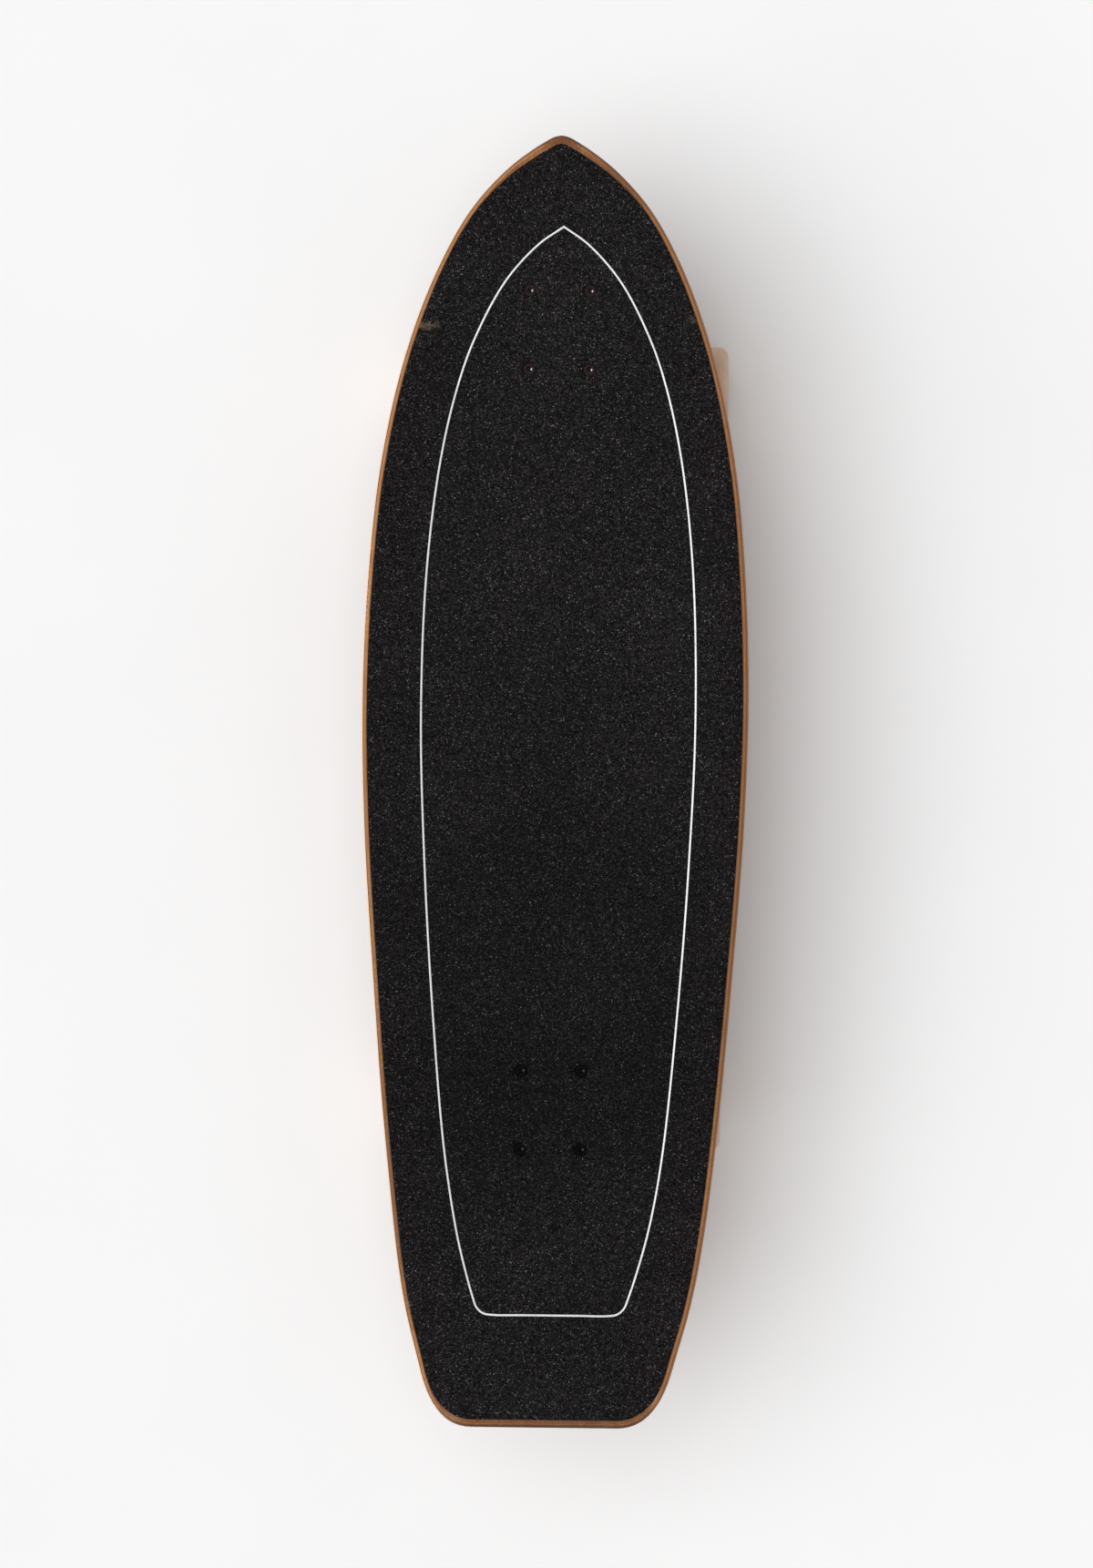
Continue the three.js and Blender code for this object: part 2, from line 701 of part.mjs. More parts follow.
// Truck frame: origin on the axle, +Y outward, +Z up
const ringCentre = new THREE.Vector3(0, -ringInward, ringAboveAxle);
const onKingpin = (geometry) =>
  geometry.rotateX(-kingpinLean).translate(ringCentre.x, ringCentre.y, ringCentre.z);
const onSteerAxis = (geometry) =>
  geometry.rotateX(steerElevation - Math.PI / 2).translate(ringCentre.x, ringCentre.y, ringCentre.z);
const bushingGap = seatGap;
const boardBushingLow = ringThickness / 2 + bushingGap;
const boardBushingHigh = boardBushingLow + boardBushingHeight;
const upperWasherHigh = boardBushingHigh + bushingGap + cupWasherThickness;
const kingpinSeat = upperWasherHigh + bushingGap;
const roadBushingHigh = -boardBushingLow;
const roadBushingLow = roadBushingHigh - roadBushingHeight;
const lowerWasherHigh = roadBushingLow - bushingGap;
const kingpinNutHigh = lowerWasherHigh - cupWasherThickness - bushingGap;
const kingpinNutLow = kingpinNutHigh - kingpinNutHeight;

// Kingpin boss, pivot boss and their cuts, to be joined to whatever plate carries the truck
function truckBosses(plateAboveAxle, plateThickness) {
  const plateAlong = (plateAboveAxle - ringAboveAxle) / Math.cos(kingpinLean);
  const seatTop = plateAlong + plateThickness / 2;
  const kingpinBoss = solid(onKingpin(turned([
    [0, kingpinSeat], [upperWasherRadius, kingpinSeat],
    [upperWasherRadius + bossEdge, kingpinSeat + bossEdge], [upperWasherRadius + bossEdge, seatTop],
    [0, seatTop],
  ], 18)));
  const pivotLow = pivotReach - pivotCupDepth;
  const cupRadius = pivotTipRadius + runGap + pivotCupWall;
  const cupEnd = pivotReach + pivotCupWall;
  const bossRadius = cupRadius + bossWall;
  const pivotBoss = solid(onSteerAxis(turned([
    [0, pivotLow], [bossRadius - bossEdge, pivotLow], [bossRadius, pivotLow + bossEdge],
    [bossRadius, cupEnd + bossWall], [0, cupEnd + bossWall],
  ], 16)));
  const pivotFoot = ringAboveAxle + pivotReach * Math.sin(steerElevation);
  const post = rod(
    bossRadius * 0.8, pivotFoot, Math.max(pivotFoot, plateAboveAxle) + plateThickness / 2, 16);
  const postOut = pivotReach * Math.cos(steerElevation) - ringInward;
  const cupPocket = solid(onSteerAxis(rod(
    boreCorner(cupRadius, boreSides), pivotLow - cutOverrun, cupEnd + seatGap * 2, boreSides)));
  const pinHole = solid(onKingpin(rod(
    boreCorner(kingpinRadius, boreSides), kingpinSeat - cutOverrun, plateAlong + plateThickness * 2,
    boreSides)));
  const headRoom = kingpinHeadHeight + kingpinHeadRadius * Math.tan(kingpinLean) + seatGap;
  const headSeat = plateAlong + plateThickness / Math.cos(kingpinLean) - headRoom - seatGap;
  const headRecess = solid(onKingpin(rod(
    boreCorner(kingpinHeadRadius, 16), headSeat, plateAlong + plateThickness * 3, 16)));
  return {
    solids: [kingpinBoss, pivotBoss, solid(post.translate(0, postOut, 0))],
    cuts: [cupPocket, pinHole, headRecess],
    headSeat,
  };
}

// The arm's plate narrows to a rounded tail behind the kingpin
function armOutline() {
  const tail = frontAxleY - ringInward - kingpinHeadRadius - armTailMargin;
  const shoulder = tail + armShoulderRun;
  const shape = new THREE.Shape();
  shape.moveTo(-armTailHalf, tail);
  shape.quadraticCurveTo(0, tail - armTailBulge, armTailHalf, tail);
  shape.quadraticCurveTo(armShoulderHalf, tail + armShoulderBend, armShoulderHalf, shoulder);
  shape.lineTo(eyeRadius * 0.9, swingCentre.y);
  shape.lineTo(-eyeRadius * 0.9, swingCentre.y);
  shape.lineTo(-armShoulderHalf, shoulder);
  shape.quadraticCurveTo(-armShoulderHalf, tail + armShoulderBend, -armTailHalf, tail);
  return shape;
}

// A web runs under the plate from the eye's foot to the truck
function buildArmWeb(side, plateLow) {
  const into = frontPlateThickness / 4;
  const web = new THREE.Shape();
  web.moveTo(swingCentre.y, swingCentre.z + eyeLow + webFootLift);
  web.lineTo(frontAxleY + ringInward, plateLow - webDepth);
  web.lineTo(frontAxleY - ringInward, plateLow + into);
  web.lineTo(swingCentre.y, plateLow + into);
  const rib = extruded(web, -webThickness / 2, webThickness / 2, 0, 1);
  rib.rotateX(Math.PI / 2).rotateZ(Math.PI / 2);
  return solid(rib.translate(side * webFromMiddle, 0, 0));
}

function buildSwingArm() {
  const truck = truckBosses(frontPlateAboveAxle, frontPlateThickness);
  const toWorld = (body) => solid(geometryOf(body).translate(0, frontAxleY, axleHeight));
  const low = axleHeight + frontPlateAboveAxle;
  const plate = solid(extruded(armOutline(), low, low + frontPlateThickness, plateEdge, 4));
  const eye = solid(inSwingFrame(turned([
    [0, eyeLow], [eyeRadius - eyeEdge, eyeLow], [eyeRadius, eyeLow + eyeEdge],
    [eyeRadius, eyeTop - eyeEdge], [eyeRadius - eyeEdge, eyeTop], [0, eyeTop],
  ], 28)));
  const coilRoomRadius = springRadius + springWireRadius + springRoom;
  const coilRoom = solid(inSwingFrame(rod(coilRoomRadius, eyeTop, eyeTop + eyeHeight * 2, 28)));
  const seatRadius = boreCorner(pivotBearingRadius, 20);
  const seatDepth = pivotBearingWidth + seatGap;
  const upperSeat = rod(seatRadius, eyeTop - seatDepth, eyeTop + cutOverrun, 20);
  const lowerSeat = rod(seatRadius, eyeLow - cutOverrun, eyeLow + seatDepth, 20);
  const boltRoom = rod(
    pivotBearingRadius - pivotBearingShoulder, eyeLow - cutOverrun, eyeTop + cutOverrun, 16);
  const lugAcross = springWireRadius * 4;
  const lug = new THREE.BoxGeometry(lugAcross, lugAcross, lugAcross);
  const lugX = -springLeg - lugAcross / 2 - seatGap;
  lug.translate(lugX, springRadius - lugAcross / 3, eyeTop + springWireRadius);
  const webs = [-1, 1].map((side) => buildArmWeb(side, low));
  const rough = join(plate, eye, ...webs, ...truck.solids.map(toWorld));
  const body = join(cut(rough, coilRoom), solid(inSwingFrame(lug)));
  const rooms = [upperSeat, lowerSeat, boltRoom].map((room) => solid(inSwingFrame(room)));
  return piece("swing_arm", cut(body, ...rooms, ...truck.cuts.map(toWorld)), finishes.castMetal);
}

function buildRearPlate() {
  const truck = truckBosses(rearPlateAboveAxle, rearPlateThickness);
  const low = rearPlateAboveAxle;
  const high = low + rearPlateThickness;
  const back = -rearAxleOutset - rearPlateHalfLength;
  const front = -rearAxleOutset + rearPlateHalfLength;
  const plate = solid(roundedPlate(rearPlateHalfWidth, back, front, plateCorner, low, high, plateEdge));
  const pockets = [-1, 1].map((side) => {
    const pocket = roundedPlate(
      pocketHalfWidth, -rearAxleOutset - pocketHalfLength, -rearAxleOutset + pocketHalfLength,
      pocketCorner, low - cutOverrun, low + rearPlateThickness / 2, 0);
    return solid(pocket.translate(side * pocketFromMiddle, 0, 0));
  });
  const above = solid(roundedPlate(
    rearPlateHalfWidth * 2, back - rearPlateHalfLength, front + rearPlateHalfLength,
    plateCorner, high, high + rearPlateThickness * 6, 0));
  const holes = patternHoles(-rearAxleOutset, boltHoleRadius, low - cutOverrun, high + cutOverrun);
  const nutRooms = patternHoles(
    -rearAxleOutset, locknutAcross / 2 + wrenchRoom, low - locknutHeight * 3, low);
  const bosses = cut(join(...truck.solids), ...nutRooms);
  const body = cut(join(cut(plate, ...pockets), bosses), above, ...holes, ...truck.cuts);
  return piece("rear_base_plate", body, finishes.castMetal);
}

function buildRearRiser() {
  const halfLength = rearPlateHalfLength + riserMargin;
  const body = solid(roundedPlate(
    rearPlateHalfWidth + riserMargin, rearPatternY - halfLength, rearPatternY + halfLength,
    plateCorner, rearPlateTop, deckUnderside, riserEdge));
  const holes = patternHoles(
    rearPatternY, boltHoleRadius, rearPlateTop - cutOverrun, deckUnderside + cutOverrun);
  return piece("rear_riser_pad", cut(body, ...holes), finishes.nylon);
}

// Stations of the hanger's loft as shares of its half length, and the oval at each one:
// half depth, half height, offset outward, offset upward
const hangerStationShares = [1, 0.97, 0.62, 0.36, 0.2, 0.08];
const hangerOvals = [
  [housingEndRadius, housingEndRadius, 0, 0],
  [housingEndRadius, housingEndRadius, 0, 0],
  [housingWaistRadius, housingWaistRadius, 0, 0],
  [crownHalfDepth, shoulderHalfHeight, shoulderOutset, shoulderRise],
  [crownHalfDepth, crownHalfHeight, crownOutset, crownRise],
  [peakHalfDepth, peakHalfHeight, peakOutset, peakRise],
];

function hangerRing(along, [halfDepth, halfHeight, outset, rise]) {
  const sides = 14;
  return Array.from({ length: sides }, (_, k) => {
    const turn = k / sides * Math.PI * 2;
    const out = outset + halfDepth * Math.cos(turn);
    return new THREE.Vector3(along, out, rise + halfHeight * Math.sin(turn));
  });
}

function buildHanger(label) {
  const left = hangerOvals.map((oval, i) => hangerRing(-hangerStationShares[i] * hangerEnd, oval));
  const right = hangerOvals.map((oval, i) => hangerRing(hangerStationShares[i] * hangerEnd, oval));
  const loft = solid(skinned([...left, ...right.reverse()]));
  const half = ringThickness / 2;
  const yoke = solid(onKingpin(turned([
    [0, -half], [ringRadius - ringEdge, -half], [ringRadius, -half + ringEdge],
    [ringRadius, half - ringEdge], [ringRadius - ringEdge, half], [0, half],
  ], 20)));
  const armProfile = [
    [-ringInward, ringAboveAxle + half], [-ringInward, ringAboveAxle - half],
    [yokeFootOut, yokeFootUp], [yokeKneeOut, yokeKneeUp], [yokeTopOut, yokeTopUp],
  ];
  const yokeArm = solid(skinned([-yokeArmHalf, yokeArmHalf].map((across) =>
    armProfile.map(([y, z]) => new THREE.Vector3(across, y, z)))));
  const neck = pivotReach - pivotNeckLength;
  const stem = solid(onSteerAxis(turned([
    [0, stemFoot], [stemFootRadius, stemFoot], [stemRadius, (stemFoot + neck) / 2],
    [pivotTipRadius + pivotNeckFlare, neck], [pivotTipRadius, pivotReach - pivotTipRadius * 1.1],
    [pivotTipRadius * 0.72, pivotReach - pivotTipRadius * 0.35], [0, pivotReach],
  ], 12)));
  const boardRoom = solid(onKingpin(rod(
    boardBushingRadius + boardRoomGap, half, kingpinSeat + boardRoomRise, 20)));
  const roadRoom = solid(onKingpin(turned([
    [0, -half], [roadBushingRadius + roadRoomGap, -half],
    [lowerWasherRadius + nutRoomGap, kingpinNutLow - nutRoomDepth], [0, kingpinNutLow - nutRoomDepth],
  ], 20)));
  const pinHole = solid(onKingpin(rod(ringHoleRadius, -ringThickness, ringThickness, 16)));
  const axleBore = rod(
    boreCorner(axleRadius, boreSides), -hangerEnd - cutOverrun, hangerEnd + cutOverrun, boreSides);
  const rough = join(loft, yoke, yokeArm, stem);
  const body = cut(rough, boardRoom, roadRoom, pinHole, solid(axleBore.rotateY(Math.PI / 2)));
  return piece(`${label}_hanger`, body, finishes.hangerMetal);
}

function buildKingpinStack(label, headSeat) {
  const bore = boreCorner(kingpinRadius, boreSides);
  const pin = join(
    solid(onKingpin(rod(kingpinRadius, kingpinNutLow - kingpinTail, headSeat + seatGap * 2, boreSides))),
    solid(onKingpin(rod(kingpinHeadRadius, headSeat + seatGap, headSeat + kingpinHeadHeight, 16))),
  );
  const boardBushing = turned(ringProfile([
    [bore, boardBushingLow], [boardBushingRadius, boardBushingLow],
    [boardBushingRadius + bushingBulge, (boardBushingLow + boardBushingHigh) / 2],
    [boardBushingRadius, boardBushingHigh], [bore, boardBushingHigh],
  ]), 16);
  const roadBushing = turned(ringProfile([
    [bore, roadBushingLow], [roadBushingEndRadius, roadBushingLow],
    [roadBushingRadius, roadBushingHigh - roadBushingCollar], [roadBushingRadius, roadBushingHigh],
    [bore, roadBushingHigh],
  ]), 16);
  const washer = (radius, high) =>
    solid(onKingpin(tubeRing(bore, radius, high - cupWasherThickness, high, 16)));
  const nut = cut(
    solid(onKingpin(hexBar(kingpinNutAcross, kingpinNutLow, kingpinNutHigh))),
    solid(onKingpin(rod(bore, kingpinNutLow - cutOverrun, kingpinNutHigh + cutOverrun, boreSides))),
  );
  const cupInner = pivotTipRadius + runGap;
  const cupLow = pivotReach - pivotCupDepth + bossEdge;
  const cupEnd = pivotReach + pivotCupWall;
  const cup = turned(ringProfile([
    [cupInner + pivotCupFlare, cupLow], [cupInner + pivotCupWall, cupLow], [cupInner + pivotCupWall, cupEnd],
    [0, cupEnd], [0, pivotReach + seatGap], [cupInner * 0.74, pivotReach - pivotTipRadius * 0.3],
    [cupInner + pivotCupFlare / 3, pivotReach - pivotTipRadius],
  ]), 12);
  return [
    piece(`${label}_kingpin`, pin, finishes.steel),
    piece(`${label}_boardside_bushing`, solid(onKingpin(boardBushing)), finishes.bushing),
    piece(`${label}_roadside_bushing`, solid(onKingpin(roadBushing)), finishes.bushing),
    piece(`${label}_upper_washer`, washer(upperWasherRadius, upperWasherHigh), finishes.steel),
    piece(`${label}_lower_washer`, washer(lowerWasherRadius, lowerWasherHigh), finishes.steel),
    piece(`${label}_kingpin_nut`, nut, finishes.steel),
    piece(`${label}_pivot_cup`, solid(onSteerAxis(cup)), finishes.nylon),
  ];
}

// The axle line runs along X; side is -1 on the left and 1 on the right
const alongAxle = (geometry, side, place) =>
  geometry.rotateY(side * Math.PI / 2).translate(side * place, 0, 0);

function buildAxle(label) {
  const axle = turned([
    [0, -axleHalf], [axleRadius - axleChamfer, -axleHalf], [axleRadius, axleChamfer - axleHalf],
    [axleRadius, axleHalf - axleChamfer], [axleRadius - axleChamfer, axleHalf], [0, axleHalf],
  ], boreSides);
  return piece(`${label}_axle`, solid(axle.rotateY(Math.PI / 2)), finishes.steel);
}

// A speed ring and a locknut in one piece
function buildAxleNut(name, side) {
  const start = axleNutStart + seatGap;
  const nutLow = axleNutStart + speedRingWidth;
  const end = nutLow + axleNutHeight;
  const nut = cut(
    join(
      solid(rod(speedRingRadius, start, nutLow + seatGap, boreSides)),
      solid(hexBar(axleNutAcross, nutLow, end)),
    ),
    solid(rod(boreCorner(axleRadius, boreSides), start - cutOverrun, end + cutOverrun, boreSides)),
  );
  return piece(name, solid(alongAxle(geometryOf(nut), side, 0)), finishes.steel);
}

function wheelProfile() {
  const seat = boreCorner(bearingRadius, wheelSegments);
  const ledge = bearingInner - seatGap;
  const face = bearingOuter + seatGap;
  const lip = wheelRadius - wheelLipRadius;
  const half = [
    [bearingRadius - coreLedge, ledge], [seat, ledge], [seat, face], [seat + coreRim, face],
    [lip - wheelFaceFlat - wheelFaceStep, wheelHalf - wheelFaceStep], [lip - wheelFaceFlat, wheelHalf],
    [lip, wheelHalf],
    [lip + wheelLipRadius * Math.SQRT1_2, wheelHalf - wheelLipRadius * (1 - Math.SQRT1_2)],
    [wheelRadius, wheelHalf - wheelLipRadius],
  ];
  const mirrored = half.map(([radius, place]) => [radius, -place]).reverse();
  return ringProfile([...half, ...mirrored]);
}

function buildBearing(name, side, outward) {
  const bore = boreCorner(bearingBore, boreSides);
  const ring = tubeRing(bore, bearingRadius, bearingInner, bearingOuter, boreSides);
  if (!outward) ring.rotateX(Math.PI);
  return piece(name, solid(alongAxle(ring, side, trackHalf)), finishes.steel);
}

function buildWheelSet(label, sideLabel, side) {
  const name = `${label}_${sideLabel}`;
  const turnToFlat = Math.PI / 2 + Math.PI / wheelSegments;
  const wheel = turned(wheelProfile(), wheelSegments).rotateZ(turnToFlat);
  const spacer = tubeRing(
    boreCorner(axleRadius, boreSides), spacerRadius, -bearingInner + seatGap, bearingInner - seatGap, 10);
  return [
    piece(`${name}_wheel`, solid(alongAxle(wheel, side, trackHalf)), finishes.urethane),
    buildBearing(`${name}_outer_bearing`, side, true),
    buildBearing(`${name}_inner_bearing`, side, false),
    piece(`${name}_bearing_spacer`, solid(alongAxle(spacer, side, trackHalf)), finishes.steel),
    buildAxleNut(`${name}_axle_nut`, side),
  ];
}

// Facing is 1 for the front truck and -1 for the rear one, whose frame is turned half round
function buildTruck(label, facing, headSeat) {
  const truck = new THREE.Group();
  truck.add(buildHanger(label), buildAxle(label), ...buildKingpinStack(label, headSeat));
  truck.add(...buildWheelSet(label, "right", facing), ...buildWheelSet(label, "left", -facing));
  return truck;
}

function buildFrontTruck() {
  const { headSeat } = truckBosses(frontPlateAboveAxle, frontPlateThickness);
  const truck = buildTruck("front", 1, headSeat);
  truck.position.set(0, frontAxleY, axleHeight);
  return truck;
}

// The rear truck faces the other way, so its whole frame turns half round
function buildRearTruck() {
  const { headSeat } = truckBosses(rearPlateAboveAxle, rearPlateThickness);
  const truck = buildTruck("rear", -1, headSeat);
  truck.add(buildRearPlate());
  truck.rotation.z = Math.PI;
  truck.position.set(0, rearAxleY, axleHeight);
  return truck;
}

const board = new THREE.Group();
board.add(buildDeck(), buildGripSheet(), buildFrontRiser(), buildRearRiser());
board.add(...buildDeckBolts("front", frontPatternY, frontBaseUnderside));
board.add(...buildDeckBolts("rear", rearPatternY, axleHeight + rearPlateAboveAxle));
board.add(buildAdapterBase(), buildSwingArm());
board.add(...buildPivotBearings(), buildPivotBolt(), buildReturnSpring());
board.add(buildFrontTruck(), buildRearTruck());

export default board;
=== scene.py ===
import json
import math
import bpy
import bmesh
import numpy as np
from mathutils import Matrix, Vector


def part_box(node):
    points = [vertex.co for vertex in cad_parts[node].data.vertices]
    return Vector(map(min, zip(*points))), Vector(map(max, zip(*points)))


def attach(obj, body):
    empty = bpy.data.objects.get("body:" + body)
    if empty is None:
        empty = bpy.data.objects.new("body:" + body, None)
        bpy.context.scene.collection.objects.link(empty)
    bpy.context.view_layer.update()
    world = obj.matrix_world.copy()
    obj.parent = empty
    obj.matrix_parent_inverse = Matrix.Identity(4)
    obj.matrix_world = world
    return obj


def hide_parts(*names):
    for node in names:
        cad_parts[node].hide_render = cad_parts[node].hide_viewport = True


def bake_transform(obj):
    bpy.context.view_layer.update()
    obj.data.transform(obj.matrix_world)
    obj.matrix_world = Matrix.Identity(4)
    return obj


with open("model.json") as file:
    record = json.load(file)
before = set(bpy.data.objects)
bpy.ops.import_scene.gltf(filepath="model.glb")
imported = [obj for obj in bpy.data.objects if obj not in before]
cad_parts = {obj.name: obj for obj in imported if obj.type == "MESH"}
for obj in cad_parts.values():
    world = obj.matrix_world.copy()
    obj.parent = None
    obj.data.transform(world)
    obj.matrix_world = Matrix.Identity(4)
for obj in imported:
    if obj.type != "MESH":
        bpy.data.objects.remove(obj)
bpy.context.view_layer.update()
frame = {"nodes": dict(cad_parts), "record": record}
scene = bpy.context.scene
cadNodes = frame["nodes"]
mm = 0.001

# Straight down from a little to the deck's right; the lens shift puts the deck back in the middle
cameraView = {
    "distance": 2.0, "planeHeight": 0.1248, "pixelsPerMetre": 1601.0, "framePixels": 1722,
    "roll": 0.655, "middle": (-0.0055, -0.0052), "aside": 0.1305, "sensor": 36.0
}


def makeCamera(view):
    data = bpy.data.cameras.new("overheadCamera")
    frameHeight = view["framePixels"] / view["pixelsPerMetre"]
    data.sensor_width = view["sensor"]
    data.lens = view["sensor"] * view["distance"] / frameHeight
    data.shift_x = -view["aside"] / frameHeight
    camera = bpy.data.objects.new("overheadCamera", data)
    roll = math.radians(view["roll"])
    x = view["middle"][0] + view["aside"] * math.cos(roll)
    y = view["middle"][1] + view["aside"] * math.sin(roll)
    camera.location = (x, y, view["planeHeight"] + view["distance"])
    camera.rotation_euler = (0, 0, roll)
    scene.collection.objects.link(camera)
    scene.camera = camera


makeCamera(cameraView)
print("camera set")


# Small helpers for meshes and materials
def smoothShade(mesh, smoothAngle):
    mesh.polygons.foreach_set("use_smooth", [True] * len(mesh.polygons))
    mesh.set_sharp_from_angle(angle=math.radians(smoothAngle))


def addMesh(name, vertices, faces, smoothAngle=40):
    mesh = bpy.data.meshes.new(name)
    mesh.from_pydata([tuple(v) for v in vertices], [], [tuple(f) for f in faces])
    work = bmesh.new()
    work.from_mesh(mesh)
    bmesh.ops.remove_doubles(work, verts=work.verts, dist=2e-7)
    bmesh.ops.dissolve_degenerate(work, edges=work.edges, dist=1e-7)
    bmesh.ops.recalc_face_normals(work, faces=work.faces)
    work.to_mesh(mesh)
    work.free()
    smoothShade(mesh, smoothAngle)
    piece = bpy.data.objects.new(name, mesh)
    scene.collection.objects.link(piece)
    return piece


def addModifier(piece, kind, **settings):
    made = piece.modifiers.new(kind.lower(), kind)
    for key, value in settings.items():
        setattr(made, key, value)


def place(piece, material, slot, body, *nodes):
    piece.data.materials.clear()
    piece.data.materials.append(material)
    if nodes:
        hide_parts(*nodes)
    if body:
        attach(piece, body)
    return piece


# A node, its settings first. Inputs go by name, or as i0, i1 by number, and are values or sockets to link
def addNode(tree, kind, settings=None, **inputs):
    made = tree.nodes.new("ShaderNode" + kind)
    for key, value in (settings or {}).items():
        setattr(made, key, value)
    for key, value in inputs.items():
        socket = made.inputs[int(key[1:])] if key[0] == "i" and key[1:].isdigit() else made.inputs[key]
        if isinstance(value, bpy.types.NodeSocket):
            tree.links.new(value, socket)
        else:
            socket.default_value = value
    return made


# A node group: inputs come with their usual values, and of the outputs only Colour is a colour
def addGroup(name, inputs, outputs):
    group = bpy.data.node_groups.new(name, "ShaderNodeTree")
    for label, value in inputs.items():
        kind = "NodeSocketColor" if isinstance(value, tuple) else "NodeSocketFloat"
        group.interface.new_socket(label, in_out="INPUT", socket_type=kind).default_value = value
    for label in outputs:
        kind = "NodeSocketColor" if label == "Colour" else "NodeSocketFloat"
        group.interface.new_socket(label, in_out="OUTPUT", socket_type=kind)
    return group, group.nodes.new("NodeGroupInput").outputs, group.nodes.new("NodeGroupOutput")


def useGroup(tree, group, **values):
    return addNode(tree, "Group", {"node_tree": group}, **values).outputs


def newMaterial(name, **shader):
    material = bpy.data.materials.new(name)
    material.use_nodes = True
    bsdf = material.node_tree.nodes["Principled BSDF"]
    for key, value in shader.items():
        bsdf.inputs[key.replace("_", " ")].default_value = value
    return material, material.node_tree, bsdf


# Links sockets to a shader's or a group's inputs; an underscore stands for a space
def feed(tree, target, **sockets):
    for key, socket in sockets.items():
        tree.links.new(socket, target.inputs[key.replace("_", " ")])


def mathNode(tree, operation, a, b=0.0, clamp=False):
    return addNode(tree, "Math", {"operation": operation, "use_clamp": clamp}, i0=a, i1=b).outputs[0]


def gather(tree, operation, masks):
    total = masks[0]
    for mask in masks[1:]:
        total = mathNode(tree, operation, total, mask)
    return total


def within(tree, value, low, high):
    above = mathNode(tree, "GREATER_THAN", value, low)
    return mathNode(tree, "MULTIPLY", above, mathNode(tree, "LESS_THAN", value, high))


def mixColour(tree, factor, a, b, blend="MIX"):
    settings = {"data_type": "RGBA", "blend_type": blend}
    return addNode(tree, "Mix", settings, i0=factor, i6=a, i7=b).outputs[2]


def spread(tree, value, low, high, toLow=0.0, toHigh=1.0):
    return addNode(tree, "MapRange", i0=value, i1=low, i2=high, i3=toLow, i4=toHigh).outputs["Result"]


def objectPlace(tree, scale=(1, 1, 1), shift=(0, 0, 0), turn=(0, 0, 0)):
    local = addNode(tree, "TexCoord").outputs["Object"]
    made = addNode(tree, "Mapping", Vector=local, Scale=scale, Location=shift, Rotation=turn)
    return made.outputs["Vector"]


# Distance from a place, 0 at the middle and 1 at the half width and the half length
def awayFrom(tree, x, y, halfWide, halfLong):
    local = objectPlace(tree, (1 / halfWide, 1 / halfLong, 0), (-x / halfWide, -y / halfLong, 0))
    return addNode(tree, "VectorMath", {"operation": "LENGTH"}, i0=local).outputs["Value"]


def noise(tree, vector, scale, detail=3.0, roughness=0.5, distortion=0.0):
    return addNode(tree, "TexNoise", Vector=vector, Scale=scale, Detail=detail, Roughness=roughness,
                   Distortion=distortion).outputs["Fac"]


# A ramp through stops of (position, colour), the first and the last one at the ramp's own two elements
def colourRamp(tree, factor, stops, interpolation="LINEAR"):
    made = addNode(tree, "ValToRGB", Fac=factor)
    ramp = made.color_ramp
    ramp.interpolation = interpolation
    for element, (position, colour) in zip(ramp.elements, (stops[0], stops[-1])):
        element.position, element.color = position, colour
    for position, colour in stops[1:-1]:
        ramp.elements.new(position).color = colour
    return made.outputs["Color"]


def bump(tree, height, distance, strength):
    return addNode(tree, "Bump", Height=height, Distance=distance, Strength=strength).outputs["Normal"]


def linear(red, green, blue):
    return tuple(((c / 255 + 0.055) / 1.055) ** 2.4 if c > 10 else c / 255 / 12.92
                 for c in (red, green, blue)) + (1.0,)


def shade(colour, factor, lift=0.0):
    return tuple(min(1, c * factor + lift) for c in colour[:3]) + (1,)


# Fine pits and swells of a cast or moulded skin
def makeCastSkin():
    group, start, end = addGroup("castSkin", {"Scale": 900.0, "Pitting": 0.5}, ("Height", "Mottle"))
    local = objectPlace(group)
    wide = noise(group, local, 38.0)
    fine = spread(group, noise(group, local, start["Scale"], 4.0), 0.3, 0.62)
    pits = mathNode(group, "MULTIPLY", fine, start["Pitting"])
    feed(group, end, Height=mathNode(group, "ADD", pits, mathNode(group, "MULTIPLY", wide, 0.5)), Mottle=wide)
    return group


# Grey dust that settles in patches and a little more on what faces up
def makeStreetDust():
    usual = {"Colour": (0.5, 0.5, 0.5, 1), "Dust Colour": (0.3, 0.27, 0.23, 1), "Amount": 0.3}
    group, start, end = addGroup("streetDust", usual, ("Colour", "Mask"))
    cloud = spread(group, noise(group, objectPlace(group), 55.0, 6.0, 0.65), 0.42, 0.72)
    facing = addNode(group, "SeparateXYZ", i0=addNode(group, "NewGeometry").outputs["Normal"]).outputs["Z"]
    lift = addNode(group, "Math", {"operation": "MULTIPLY_ADD"}, i0=facing, i1=0.25, i2=0.75).outputs[0]
    mask = mathNode(group, "MULTIPLY", mathNode(group, "MULTIPLY", cloud, lift), start["Amount"], True)
    feed(group, end, Mask=mask, Colour=mixColour(group, mask, start["Colour"], start["Dust Colour"]))
    return group


# Hair-thin scratches in two crossing directions
def makeRubMarks():
    group, start, end = addGroup("rubMarks", {"Density": 0.5}, ("Mask",))
    ways = [((30, 900, 600), (0.4, 0.2, 0.5)), ((700, 40, 900), (0.1, 1.1, -0.7))]
    streaks = [noise(group, objectPlace(group, stretch, turn=turn), 1.0, 2.0) for stretch, turn in ways]
    both = gather(group, "MAXIMUM", [spread(group, streak, 0.68, 0.78) for streak in streaks])
    feed(group, end, Mask=mathNode(group, "MULTIPLY", both, start["Density"], True))
    return group


